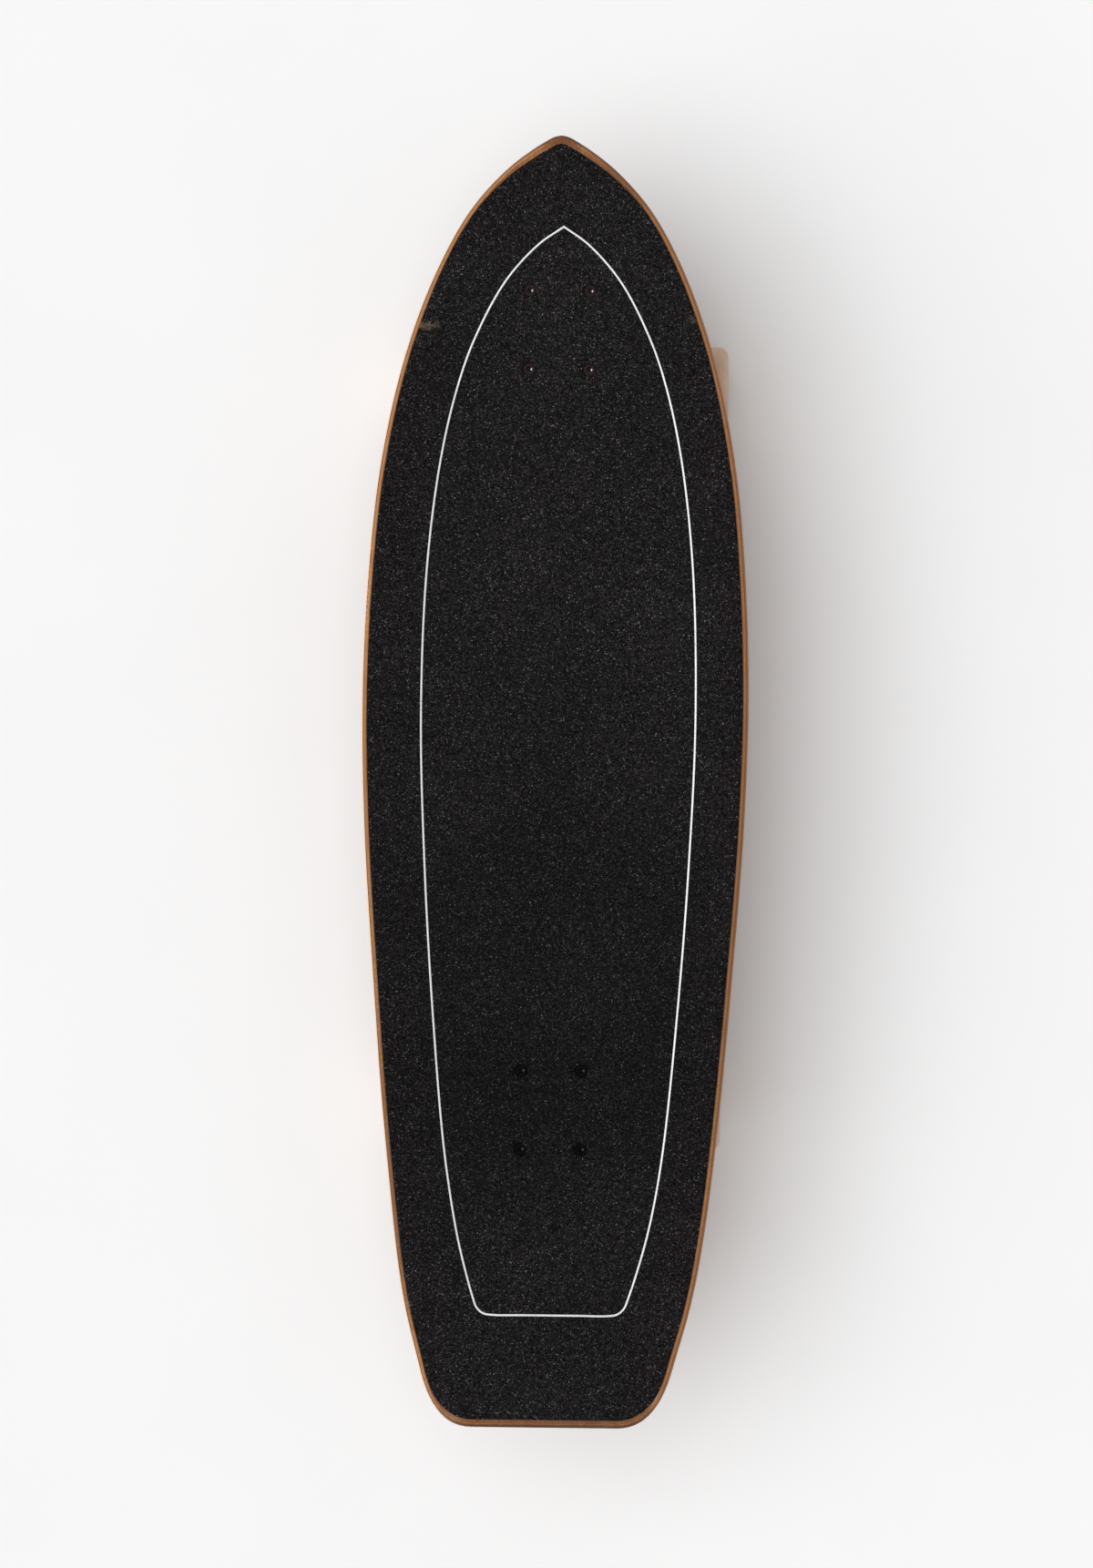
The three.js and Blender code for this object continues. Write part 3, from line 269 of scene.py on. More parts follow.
# Cloudy tone, stains and fine tooth of machined and plated steel
def makePlating():
    usual = {"Colour": (0.6, 0.6, 0.6, 1), "Stain": (0.35, 0.3, 0.25, 1), "Wear": 0.4}
    group, start, end = addGroup("plating", usual, ("Colour", "Roughness", "Height"))
    local = objectPlace(group)
    cloud = noise(group, local, 160.0, 5.0, 0.6)
    worn = mathNode(group, "MULTIPLY", spread(group, cloud, 0.45, 0.7), start["Wear"], True)
    feed(group, end, Colour=mixColour(group, worn, start["Colour"], start["Stain"]),
         Roughness=spread(group, cloud, 0.3, 0.75, 0.2, 0.5), Height=noise(group, local, 1500.0, 2.0))
    return group


castSkin = makeCastSkin()
streetDust = makeStreetDust()
rubMarks = makeRubMarks()
plating = makePlating()


def castFinish(name, colour, roughness, metallic, dust, pitting, scratch):
    material, tree, bsdf = newMaterial(name, Metallic=metallic)
    skin = useGroup(tree, castSkin, Scale=1100.0, Pitting=pitting)
    marks = useGroup(tree, rubMarks, Density=scratch)
    tone = mixColour(tree, spread(tree, skin["Mottle"], 0.35, 0.7), colour, shade(colour, 0.75))
    bright = mixColour(tree, marks["Mask"], tone, shade(colour, 1.6, 0.05))
    feed(tree, bsdf, Base_Color=useGroup(tree, streetDust, Amount=dust, Colour=bright)["Colour"],
         Roughness=spread(tree, skin["Mottle"], 0.3, 0.75, roughness - 0.08, roughness + 0.14),
         Normal=bump(tree, skin["Height"], 0.00012, 0.6))
    return material


def steelFinish(name, colour, stain, wear):
    material, tree, bsdf = newMaterial(name, Metallic=1.0)
    plate = useGroup(tree, plating, Colour=colour, Stain=stain, Wear=wear)
    marks = useGroup(tree, rubMarks, Density=0.5)
    feed(tree, bsdf, Base_Color=mixColour(tree, marks["Mask"], plate["Colour"], shade(colour, 1.3, 0.04)),
         Roughness=plate["Roughness"], Normal=bump(tree, plate["Height"], 0.00002, 0.5))
    return material


blackCasting = castFinish("blackCasting", (0.022, 0.022, 0.024, 1), roughness=0.42, metallic=0.35, dust=0.22,
                          pitting=0.6, scratch=0.5)
hangerAlloy = castFinish("hangerAlloy", (0.52, 0.53, 0.54, 1), roughness=0.34, metallic=0.9, dust=0.2,
                         pitting=0.35, scratch=0.6)
mouldedNylon = castFinish("mouldedNylon", (0.016, 0.016, 0.017, 1), roughness=0.55, metallic=0.0, dust=0.25,
                          pitting=0.4, scratch=0.3)
platedSteel = steelFinish("platedSteel", (0.56, 0.56, 0.57, 1), stain=(0.30, 0.27, 0.23, 1), wear=0.5)
bearingSteel = steelFinish("bearingSteel", (0.62, 0.62, 0.63, 1), stain=(0.34, 0.32, 0.30, 1), wear=0.35)
springSteel = steelFinish("springSteel", (0.33, 0.34, 0.36, 1), stain=(0.17, 0.14, 0.11, 1), wear=0.6)

# The deck bolts stand on two patterns; each socket is painted dark inside as shade and has one painted glint
# at its right edge
boltPattern = {"halfWide": 0.02065, "halfLong": 0.02699, "middles": (0.3063, -0.2289)}
boltSpots = [(side * boltPattern["halfWide"], middle + end * boltPattern["halfLong"])
             for middle in boltPattern["middles"] for end in (1, -1) for side in (-1, 1)]
socketMarks = {
    "glintAside": 0.00145, "glintHalf": (0.0008, 0.0011), "glintFade": (0.45, 0.95),
    "wellFade": (1.55, 1.85), "socketShadeTone": (0.0004, 0.0003, 0.0003, 1)
}


def coatedBolt(name, colour, spots, glint, gloss):
    m = socketMarks
    material, tree, bsdf = newMaterial(name, Specular_IOR_Level=gloss)
    plate = useGroup(tree, plating, Colour=colour, Stain=shade(colour, 0.45), Wear=0.8)
    glints = [awayFrom(tree, x + m["glintAside"], y, *m["glintHalf"]) for x, y in spots]
    wells = [awayFrom(tree, x, y, mm, mm) for x, y in spots]
    # A painted glint at each socket's right edge, and painted shade inside each socket
    paintedGlint, paintedSocketShade = (gather(tree, "MAXIMUM", [spread(tree, away, *m[fade], 1.0, 0.0) for away in places])
                     for places, fade in ((glints, "glintFade"), (wells, "wellFade")))
    dark = mixColour(tree, paintedSocketShade, plate["Colour"], m["socketShadeTone"])
    feed(tree, bsdf, Base_Color=mixColour(tree, paintedGlint, dark, glint), Roughness=plate["Roughness"],
         Normal=bump(tree, plate["Height"], 0.00002, 0.5))
    return material


# Each bolt's last colour is its painted glint
bronzeBolt = coatedBolt("bronzeBolt", linear(36, 21, 18), boltSpots[:4], (0.75, 0.74, 0.73, 1), gloss=0.06)
blackBolt = coatedBolt("blackBolt", linear(5, 5, 5), boltSpots[4:], (0.1, 0.097, 0.095, 1), gloss=0.02)


def softUrethane(name, colour, roughness, dust, soak):
    material, tree, bsdf = newMaterial(name, Subsurface_Weight=soak, Subsurface_Scale=0.004, IOR=1.5)
    local = objectPlace(tree)
    cloud = noise(tree, local, 45.0, 5.0, 0.6)
    tone = mixColour(tree, spread(tree, cloud, 0.3, 0.7), colour, shade(colour, 0.84))
    feed(tree, bsdf, Base_Color=useGroup(tree, streetDust, Amount=dust, Colour=tone)["Colour"],
         Roughness=spread(tree, cloud, 0.3, 0.7, roughness - 0.06, roughness + 0.1),
         Normal=bump(tree, noise(tree, local, 1300.0), 0.00008, 0.5))
    return material


wheelUrethane = softUrethane("wheelUrethane", linear(220, 184, 156), roughness=0.46, dust=0.35, soak=0.12)
bushingUrethane = softUrethane("bushingUrethane", linear(214, 108, 48), roughness=0.4, dust=0.3, soak=0.2)
print("shared finishes made")

# The deck's form in millimetres; the outline's shares are of its length and its half width.
# Bores are a radius and the heights between which they run, in metres
deckForm = {
    "length": 879.0, "width": 265.0, "thickness": 10.5, "topRound": 3.6, "underRound": 2.8,
    "flatHalf": 45.0, "concave": 7.0, "tailFade": 0.6, "noseLift": 5.0, "noseRun": 85.0,
    "kickStart": 167.0, "kickBend": 41.0, "kickAngle": 14.0, "tailHalf": 49.1, "cornerHalf": 74.2,
    "underside": 114.0, "columns": 36, "rimSteps": 7, "underSteps": 6, "faceInset": 6.0,
    "noseRing": 30.0, "tailRing": 13.0, "bores": (0.0046, 0.108, 0.135),
    "outlineShares": [(0, 0), (0.0012, 0.037), (0.0046, 0.081), (0.0114, 0.154), (0.0273, 0.29),
                      (0.0569, 0.467), (0.1024, 0.635), (0.1707, 0.799), (0.2559, 0.918),
                      (0.3413, 0.976), (0.438, 1), (0.5404, 0.983), (0.6541, 0.932),
                      (0.7679, 0.869), (0.8525, 0.805), (0.9067, 0.741), (0.9606, 0.641)]
}
kickFrom = deckForm["length"] - deckForm["kickStart"]
kickRadius = deckForm["kickBend"] / math.sin(math.radians(deckForm["kickAngle"]))


def between(a, b, knotA, knotB, t):
    return a + (b - a) * (t - knotA) / (knotB - knotA)


# A smooth curve through given points, as a list of points
def throughPoints(points, perSpan):
    points = np.array(points, float)
    points = np.vstack([2 * points[0] - points[1], points, 2 * points[-1] - points[-2]])
    curve = []
    for i in range(1, len(points) - 2):
        p = points[i - 1:i + 3]
        k = np.concatenate([[0], np.cumsum(np.sqrt(np.linalg.norm(np.diff(p, axis=0), axis=1)))])
        for t in np.linspace(k[1], k[2], perSpan, endpoint=False):
            first = [between(p[j], p[j + 1], k[j], k[j + 1], t) for j in range(3)]
            second = [between(first[j], first[j + 1], k[j], k[j + 2], t) for j in range(2)]
            curve.append(between(second[0], second[1], k[1], k[2], t))
    return np.array(curve + [points[-2]])


# Half of the outline: millimetres from the middle line, and from the nose
def halfOutline():
    f = deckForm
    shares = np.array(f["outlineShares"])
    side = throughPoints(np.stack([shares[:, 1] * f["width"] / 2, shares[:, 0] * f["length"]], 1), 14)
    t = np.linspace(0, 1, 13)[1:, None]
    knee, end = (np.array([f[half], f["length"]]) for half in ("cornerHalf", "tailHalf"))
    return np.vstack([side, (1 - t) ** 2 * side[-1] + 2 * t * (1 - t) * knee + t ** 2 * end])


def insetOutline(outline, inset, widen=(0.0, 0.0)):
    f = deckForm
    along = np.gradient(outline, axis=0)
    along[0], along[-1] = (1, 0), (-1, 0)
    along /= np.linalg.norm(along, axis=1)[:, None]
    atNose = widen[0] * np.exp(-(outline[:, 1:] / f["noseRing"]) ** 2)
    atTail = widen[1] * np.exp(-((f["length"] - outline[:, 1:]) / f["tailRing"]) ** 2)
    moved = outline + inset * (1 + atNose + atTail) * np.stack([-along[:, 1], along[:, 0]], 1)
    noseStop = inset * (1 + widen[0])
    inside = (moved[:, 0] > inset / 50) & (moved[:, 1] > noseStop)
    moved[~inside] = (0, noseStop)
    return moved


# Height of the deck above its flat middle
def deckRise(x, fromNose):
    f = deckForm
    rise = f["noseLift"] * (np.maximum(0, f["noseRun"] - fromNose) / f["noseRun"]) ** 2
    run = np.maximum(0, fromNose - kickFrom)
    bend = np.minimum(run, f["kickBend"])
    rise = rise + kickRadius - np.sqrt(kickRadius ** 2 - bend ** 2)
    rise = rise + (run - bend) * math.tan(math.radians(f["kickAngle"]))
    across = np.maximum(0, np.abs(x) - f["flatHalf"]) / (f["width"] / 2 - f["flatHalf"])
    nose = np.clip(fromNose / (f["length"] / 4), 0, 1)
    tail = np.clip(run / f["kickStart"], 0, 1)
    fade = nose ** 2 * (3 - 2 * nose) * (1 - f["tailFade"] * tail ** 2 * (3 - 2 * tail))
    return rise + f["concave"] * across ** 2 * fade


def slopeStretch(fromNose):
    sine = np.clip((fromNose - kickFrom) / kickRadius, 0, math.sin(math.radians(deckForm["kickAngle"])))
    return 1 / np.sqrt(1 - sine ** 2)


def onDeck(x, fromNose, height):
    z = deckForm["underside"] + deckRise(x, fromNose) + height * slopeStretch(fromNose)
    return np.stack([x, deckForm["length"] / 2 - fromNose, z], -1) * mm


# A sheet that follows the deck; levels of (inset, height) run from the lower face to the upper one
def deckSheet(name, levels, widen=(0.0, 0.0)):
    outline = halfOutline()
    columns = deckForm["columns"]
    shares = np.sin(np.linspace(-1, 1, columns + 1) * math.pi / 2)
    vertices, faces = [], []

    def ringOf(inset, height, cover):
        edge = insetOutline(outline, inset, widen)
        rows, count = len(edge), len(vertices)
        if cover:
            x = edge[:, :1] * shares
            vertices.extend(onDeck(x, np.repeat(edge[:, 1:], columns + 1, 1), height).reshape(-1, 3))
            index = np.arange(rows * (columns + 1)).reshape(rows, -1) + count
            quads = np.stack([index[:-1, :-1], index[:-1, 1:], index[1:, 1:], index[1:, :-1]], -1)
            faces.extend(quads.reshape(-1, 4))
            return np.concatenate([index[:, -1], index[-1, 1:-1][::-1], index[::-1, 0]])
        tail = edge[-1, 0] * shares[1:-1][::-1]
        x = np.concatenate([edge[:, 0], tail, -edge[::-1, 0]])
        fromNose = np.concatenate([edge[:, 1], np.full(len(tail), edge[-1, 1]), edge[::-1, 1]])
        vertices.extend(onDeck(x, fromNose, height))
        return np.arange(len(x)) + count

    rings = [ringOf(inset, height, i in (0, len(levels) - 1)) for i, (inset, height) in enumerate(levels)]
    for low, high in zip(rings, rings[1:]):
        faces.extend(np.stack([low, np.roll(low, -1), np.roll(high, -1), high], -1))
    return addMesh(name, vertices, [tuple(dict.fromkeys(f)) for f in faces], 50)


def quarterRound(radius, top, steps):
    turns = np.linspace(0, math.pi / 2, steps)
    return [(radius * (1 - math.cos(a)), top - radius + radius * math.sin(a)) for a in turns]


# Round holes straight through a flat piece at the deck bolts
def boreHoles(piece, radius, low, high):
    vertices, faces, sides = [], [], 32
    for x, y in boltSpots:
        ring = list(range(len(vertices), len(vertices) + sides))
        vertices += [(x + radius * math.cos(a), y + radius * math.sin(a), z) for z in (low, high)
                     for a in np.linspace(0, 2 * math.pi, sides, endpoint=False)]
        faces += [tuple(reversed(ring)), tuple(i + sides for i in ring)]
        faces += [(a, b, b + sides, a + sides) for a, b in zip(ring, ring[1:] + ring[:1])]
    cutter = addMesh("boltBores", vertices, faces)
    addModifier(piece, "BOOLEAN", operation="DIFFERENCE", solver="EXACT", object=cutter)
    return keepShape(piece, cutter)


# Applies a piece's modifiers and drops the helpers they used
def keepShape(piece, *helpers):
    graph = bpy.context.evaluated_depsgraph_get()
    mesh = bpy.data.meshes.new_from_object(piece.evaluated_get(graph))
    piece.modifiers.clear()
    piece.data = mesh
    for helper in helpers:
        bpy.data.objects.remove(helper)
    return piece


# A soft-edged patch broken up by noise: millimetres from the middle line and from the nose, half width,
# half length, raggedness and strength
def patch(tree, x, fromNose, halfWide, halfLong, ragged, strength):
    away = awayFrom(tree, x * mm, (deckForm["length"] / 2 - fromNose) * mm, halfWide * mm, halfLong * mm)
    rough = noise(tree, objectPlace(tree), 520.0, 4.0, 0.7)
    edge = mathNode(tree, "ADD", away, spread(tree, rough, 0.3, 0.7, -ragged, ragged * 1.6))
    return spread(tree, edge, 0.4, 1.0, strength, 0.0)


# Straight grain with drawn-out arches, fine pores and slow changes of tone along the board
def makeMapleFigure():
    usual = {"Light": (0.5, 0.3, 0.15, 1), "Dark": (0.3, 0.15, 0.06, 1), "Pores": 0.5}
    group, start, end = addGroup("mapleFigure", usual, ("Colour", "Height"))
    arches = noise(group, objectPlace(group, (46, 1.5, 3)), 1.0, 5.0, 0.55, 0.7)
    rings = mathNode(group, "FRACT", mathNode(group, "MULTIPLY", arches, 7.0))
    rings = mathNode(group, "MULTIPLY", mathNode(group, "PINGPONG", rings, 0.5), 0.9)
    pores = spread(group, noise(group, objectPlace(group, (1500, 22, 60)), 1.0), 0.52, 0.68)
    tone = mathNode(group, "ADD", rings, spread(group, arches, 0.3, 0.7, 0, 0.55))
    dark = mathNode(group, "ADD", tone, mathNode(group, "MULTIPLY", pores, start["Pores"]), True)
    feed(group, end, Colour=mixColour(group, dark, start["Light"], start["Dark"]),
         Height=mathNode(group, "SUBTRACT", 1.0, dark))
    return group


mapleFigure = makeMapleFigure()

# The wood's tones. Plies go by share of the thickness from below. The pale rows for patch are bare scuffs and
# a painted sheen on the left side; the dark rows for patch are painted shade at the right side and the nose,
# and darker tone at the tail end and the left.
# Rim tones: axis, side, reach from and to in metres, plies from and to, strength, colour. Painted shade at
# the right and the nose, darker at the tail end, and a pale painted highlight at the left
deckWood = {
    "light": (172, 111, 57), "dark": (120, 70, 31), "fibre": (70, 40, 22), "bareTone": (206, 154, 104),
    "shadeAndDarkTone": (96, 55, 22), "skin": 0.05,
    "plies": [(0.0, (150, 95, 54)), (0.13, (104, 62, 34)), (0.15, (186, 134, 86)),
              (0.28, (120, 72, 40)), (0.30, (158, 100, 58)), (0.43, (92, 54, 30)),
              (0.45, (190, 138, 90)), (0.58, (110, 66, 36)), (0.60, (138, 82, 43)),
              (0.64, (78, 43, 22)), (0.66, (206, 158, 116)), (0.9, (76, 41, 20)),
              (0.94, (182, 130, 86)), (0.966, (132, 84, 46)), (0.972, (176, 124, 80))],
    "bare": [(-7, 13, 8, 5, 0.5, 0.6), (-61, 872, 9, 7, 0.6, 0.6), (74, 860, 6, 10, 0.6, 0.6),
             (-131, 296, 5, 60, 0.6, 0.6), (131, 520, 4, 22, 0.6, 0.6)],
    "shadeAndDarkPatches": [(0, 872, 125, 34, 0.3, 0.74), (44, 26, 46, 40, 0.3, 0.55), (0, 2, 26, 12, 0.3, 0.85),
             (122, 500, 24, 400, 0.3, 0.42), (112, 770, 24, 70, 0.3, 0.2),
             (-112, 740, 34, 230, 0.3, 0.72), (-126, 470, 20, 140, 0.3, 0.2)],
    "rimTones": [("X", 1, 0.02, 0.06, 0.62, 0.955, 0.5, (140, 86, 52)),
                 ("X", -1, 0.02, 0.06, 0.62, 0.88, 0.75, (244, 212, 178)),
                 ("Y", 1, 0.4, 0.435, 0.62, 0.955, 0.5, (96, 56, 32)),
                 ("Y", -1, 0.425, 0.436, 0.01, 0.985, 0.62, (60, 32, 18))]
}


# Varnished plies: the height inside the board picks the ply, the faces carry the figure
def deckFinish():
    w, thickness = deckWood, deckForm["thickness"]
    material, tree, bsdf = newMaterial("varnishedMaple", Specular_IOR_Level=0.14, Coat_Weight=0.05,
                                       Coat_Roughness=0.15)
    face = useGroup(tree, mapleFigure, Light=linear(*w["light"]), Dark=linear(*w["dark"]), Pores=0.6)
    level = addNode(tree, "Attribute", {"attribute_name": "plyHeight"}).outputs["Fac"]
    wobble = noise(tree, objectPlace(tree, (60, 6, 60)), 1.0, 2.0)
    height = mathNode(tree, "ADD", level, spread(tree, wobble, 0.3, 0.7, -0.1, 0.1))
    plies = colourRamp(tree, mathNode(tree, "DIVIDE", height, thickness),
                       [(share, linear(*tone)) for share, tone in w["plies"]], "CONSTANT")
    fibre = noise(tree, objectPlace(tree, (900, 60, 2400)), 1.0, 4.0, 0.6)
    edge = mixColour(tree, spread(tree, fibre, 0.35, 0.7, 0, 0.35), plies, linear(*w["fibre"]))
    wood = mixColour(tree, within(tree, level, w["skin"], thickness - w["skin"]), face["Colour"], edge)
    # Pale patches: bare scuffs, and a painted sheen on the left side
    bare = gather(tree, "MAXIMUM", [patch(tree, *row) for row in w["bare"]])
    wood = mixColour(tree, bare, wood, linear(*w["bareTone"]))
    # Dark patches: painted shade at the right side and the nose, and darker tone at the tail end and the left
    for row in w["shadeAndDarkPatches"]:
        wood = mixColour(tree, patch(tree, *row), wood, linear(*w["shadeAndDarkTone"]))
    apart = addNode(tree, "SeparateXYZ", i0=objectPlace(tree)).outputs
    # Painted shade on the rim at the right and the nose, darker at the tail end, and a painted highlight at
    # the left
    for axis, side, start, stop, low, high, strength, tone in w["rimTones"]:
        reach = spread(tree, mathNode(tree, "MULTIPLY", apart[axis], side), start, stop, 0, strength)
        outer = within(tree, height, thickness * low, thickness * high)
        wood = mixColour(tree, mathNode(tree, "MULTIPLY", outer, reach), wood, linear(*tone))
    feed(tree, bsdf, Base_Color=useGroup(tree, streetDust, Amount=0.07, Colour=wood)["Colour"],
         Roughness=spread(tree, fibre, 0.3, 0.75, 0.28, 0.5), Normal=bump(tree, face["Height"], 0.00008, 0.4))
    return material


def buildDeckBoard():
    f = deckForm
    under = quarterRound(f["underRound"], f["thickness"], f["underSteps"])[::-1]
    levels = [(f["faceInset"], 0.0)] + [(inset, f["thickness"] - height) for inset, height in under]
    levels += quarterRound(f["topRound"], f["thickness"], f["rimSteps"]) + [(f["faceInset"], f["thickness"])]
    board = boreHoles(deckSheet("deckBoard", levels), *f["bores"])
    spots = np.empty(len(board.data.vertices) * 3)
    board.data.vertices.foreach_get("co", spots)
    spots = spots.reshape(-1, 3) / mm
    fromNose = f["length"] / 2 - spots[:, 1]
    height = (spots[:, 2] - f["underside"] - deckRise(spots[:, 0], fromNose)) / slopeStretch(fromNose)
    level = board.data.attributes.new("plyHeight", "FLOAT", "POINT")
    level.data.foreach_set("value", height.astype(np.float32))
    return board


place(buildDeckBoard(), deckFinish(), "deck_maple", "deck", "deck")
print("deck board made")

# The grip sheet in millimetres; grains are tones of grit by share, the brightest few painted glints; the rows
# that darken the middle of the board and the worn scuffs are rows for patch
gripForm = {
    "inset": 3.95, "low": 10.8, "thickness": 0.8, "cutEdge": 0.25, "faceInset": 2.5,
    "widen": (0.6, 0.47), "bores": (0.00448, 0.120, 0.135), "grainScale": 1700.0,
    "wornTone": (126, 108, 91), "darkerMiddleTone": (0.0012, 0.0011, 0.0011, 1),
    "grainTonesAndGlints": [(0.0, (0.0006, 0.0006, 0.0006, 1)), (0.25, (0.003885, 0.0035335, 0.0036445, 1)),
               (0.5, (0.008085, 0.0073535, 0.0075845, 1)), (0.75, (0.015015, 0.0136565, 0.0140855, 1)),
               (0.93, (0.03465, 0.031515, 0.032505, 1)), (0.985, (0.0693, 0.06303, 0.06501, 1)),
               (1.0, (0.2, 0.2, 0.2, 1))],
    "darkerMiddle": [(0, 668, 170, 80, 0.15, 0.16), (0, 590, 230, 190, 0.15, 0.26)],
    "worn": [(-91.5, 131.5, 10, 3.6, 0.5, 1.0), (92, 126, 6, 4, 0.6, 0.4),
             (-100, 141.5, 7, 3, 0.6, 0.3), (-42, 868.5, 2.2, 1.0, 0.5, 0.6),
             (-32, 868.8, 2.6, 0.9, 0.5, 0.6), (-24, 868.5, 2.2, 0.9, 0.5, 0.6),
             (-18.5, 868.7, 2, 0.8, 0.5, 0.6)]
}


# Black grit in clear resin: every grain has its own tone, and the brightest few are painted glints
def gritFinish():
    g = gripForm
    material, tree, bsdf = newMaterial("blackGrit", Specular_IOR_Level=0.03)
    local = objectPlace(tree)
    grain = addNode(tree, "TexVoronoi", Vector=local, Scale=g["grainScale"]).outputs
    facet = addNode(tree, "SeparateColor", Color=grain["Color"]).outputs
    cloud = spread(tree, noise(tree, local, 11.0, 3.0, 0.55), 0.3, 0.7, 0.86, 1.14)
    # Grain tones; the brightest stops are painted glints
    tone = mixColour(tree, 1.0, colourRamp(tree, facet["Red"], g["grainTonesAndGlints"]), cloud, "MULTIPLY")
    # Darker towards the middle of the board
    darkerMiddle = gather(tree, "ADD", [patch(tree, *row) for row in g["darkerMiddle"]])
    tone = mixColour(tree, darkerMiddle, tone, g["darkerMiddleTone"])
    worn = gather(tree, "MAXIMUM", [patch(tree, *row) for row in g["worn"]])
    paintedGlint = mathNode(tree, "MULTIPLY", worn, spread(tree, facet["Green"], 0.0, 1.0, 0.15, 0.85))
    feed(tree, bsdf, Base_Color=mixColour(tree, paintedGlint, tone, linear(*g["wornTone"])),
         Roughness=spread(tree, facet["Blue"], 0, 1, 0.55, 0.95),
         Normal=bump(tree, mathNode(tree, "SUBTRACT", facet["Green"], grain["Distance"]), 0.00025, 0.6))
    return material


def buildGripSheet():
    g = gripForm
    top = g["low"] + g["thickness"]
    levels = [(g["inset"], g["low"]), (g["inset"], top - g["cutEdge"]), (g["inset"] + g["cutEdge"], top),
              (g["inset"] + g["faceInset"], top)]
    return boreHoles(deckSheet("gripSheet", levels, g["widen"]), *g["bores"])


place(buildGripSheet(), gritFinish(), "grip_sheet", "deck", "griptape")
print("grip sheet made")

# The painted line: millimetres from its own middle line and from the nose
lineForm = {
    "aside": 2.2, "halfWidth": 0.68, "proud": 0.1,
    "side": [(0, 62.5), (17.5, 75), (39.5, 100), (60.4, 140), (72.2, 175), (82.9, 225), (91.3, 300),
             (94.0, 400), (90.5, 500), (83.9, 600), (74.4, 700), (65.9, 749.3), (56.7, 782.8),
             (52.8, 794.5)],
    "corner": [(50.2, 800.7), (45.6, 804.6), (38.7, 805.7), (19.8, 805.7), (0, 805.7)]
}


def buildDeckLine():
    f = lineForm
    half = np.vstack([throughPoints(f["side"], 16), throughPoints([f["side"][-1]] + f["corner"], 6)[1:]])
    loop = np.vstack([half, (half * (-1, 1))[-2:0:-1]])
    before, after = np.roll(loop, 1, 0), np.roll(loop, -1, 0)
    unit = [d / np.linalg.norm(d, axis=1)[:, None] for d in (loop - before, after - loop)]
    normals = [np.stack([-u[:, 1], u[:, 0]], 1) for u in unit]
    mitre = normals[0] + normals[1]
    mitre /= np.linalg.norm(mitre, axis=1)[:, None]
    mitre /= np.maximum(np.sum(mitre * normals[0], axis=1), 0.45)[:, None]
    top = gripForm["low"] + gripForm["thickness"]
    vertices = []
    for shift, height in ((1, -0.1), (0.82, f["proud"]), (-0.82, f["proud"]), (-1, -0.1)):
        edge = loop + mitre * f["halfWidth"] * shift
        vertices.append(onDeck(edge[:, 0] + f["aside"], edge[:, 1], top + height))
    count = len(loop)
    faces = [(a * count + i, b * count + i, b * count + (i + 1) % count, a * count + (i + 1) % count)
             for a, b in ((0, 1), (1, 2), (2, 3), (3, 0)) for i in range(count)]
    return addMesh("paintedLine", np.vstack(vertices), faces, 60)


def linePaint():
    material, tree, bsdf = newMaterial("whiteLinePaint", Roughness=0.6)
    local = objectPlace(tree)
    grain = addNode(tree, "TexVoronoi", Vector=local, Scale=1350.0).outputs["Distance"]
    rubs = spread(tree, noise(tree, local, 70.0, 5.0, 0.7), 0.35, 0.7, 0.15, 0.8)
    gaps = mathNode(tree, "MULTIPLY", spread(tree, grain, 0.5, 0.85), rubs)
    feed(tree, bsdf, Base_Color=mixColour(tree, gaps, linear(244, 244, 246), linear(150, 148, 148)),
         Normal=bump(tree, mathNode(tree, "SUBTRACT", 1.0, grain), 0.0002, 0.6))
    return material


place(buildDeckLine(), linePaint(), "grip_sheet", "deck")
print("painted line made")

# From here on the pieces are made in millimetres: turned, swept or skinned rings of equal count
bodyOf = {node: body for body, nodes in frame["record"]["behaviour"]["bodies"].items() for node in nodes}
trucks = {
    "front": {"facing": 1, "axle": (276.3, 32.718), "carrier": "front_arm", "hanger": "front_hanger"},
    "rear": {"facing": -1, "axle": (-233.9, 32.718), "carrier": "deck", "hanger": "rear_hanger"}
}
placing = {"ring": (0, -18, 24), "kingpinLean": 12.0, "swing": (0, 332.3, 72.0), "swingTilt": 12.0}


def tilted(points, degrees):
    turn = math.radians(degrees)
    x, y, z = np.moveaxis(points, -1, 0)
    return np.stack([x, y * math.cos(turn) - z * math.sin(turn), y * math.sin(turn) + z * math.cos(turn)], -1)


def inTruck(points, label):
    facing, (y, z) = trucks[label]["facing"], trucks[label]["axle"]
    return points * (facing, facing, 1) + (0, y, z)


def onKingpin(points, label):
    return inTruck(tilted(points, -placing["kingpinLean"]) + placing["ring"], label)


def inSwing(points):
    return tilted(points, -placing["swingTilt"]) + placing["swing"]


# Turns a piece made about +Z to lie along the axle, outward to the given side
def alongAxle(points, label, side, outward=90.0):
    x, y, z = np.moveaxis(points, -1, 0)
    turned = np.stack([side * (z + outward), y, -side * x], -1)
    return inTruck(turned * (trucks[label]["facing"], 1, 1), label)


def roundRing(radius, height, sides):
    turn = np.linspace(0, 2 * math.pi, sides, endpoint=False)
    radius = np.broadcast_to(radius, sides)
    return np.stack([radius * np.cos(turn), radius * np.sin(turn), np.full(sides, height)], -1)


def turnedRings(profile, sides=64):
    return np.array([roundRing(radius, height, sides) for radius, height in profile])


# A hexagon whose corners are cut back by the radius given at each height
def hexRings(profile, across, sides=72):
    turn = np.linspace(0, 360, sides, endpoint=False)
    flat = across / 2 / np.cos(np.radians((turn + 30) % 60 - 30))
    return np.array([roundRing(np.minimum(flat, radius), height, sides) for radius, height in profile])


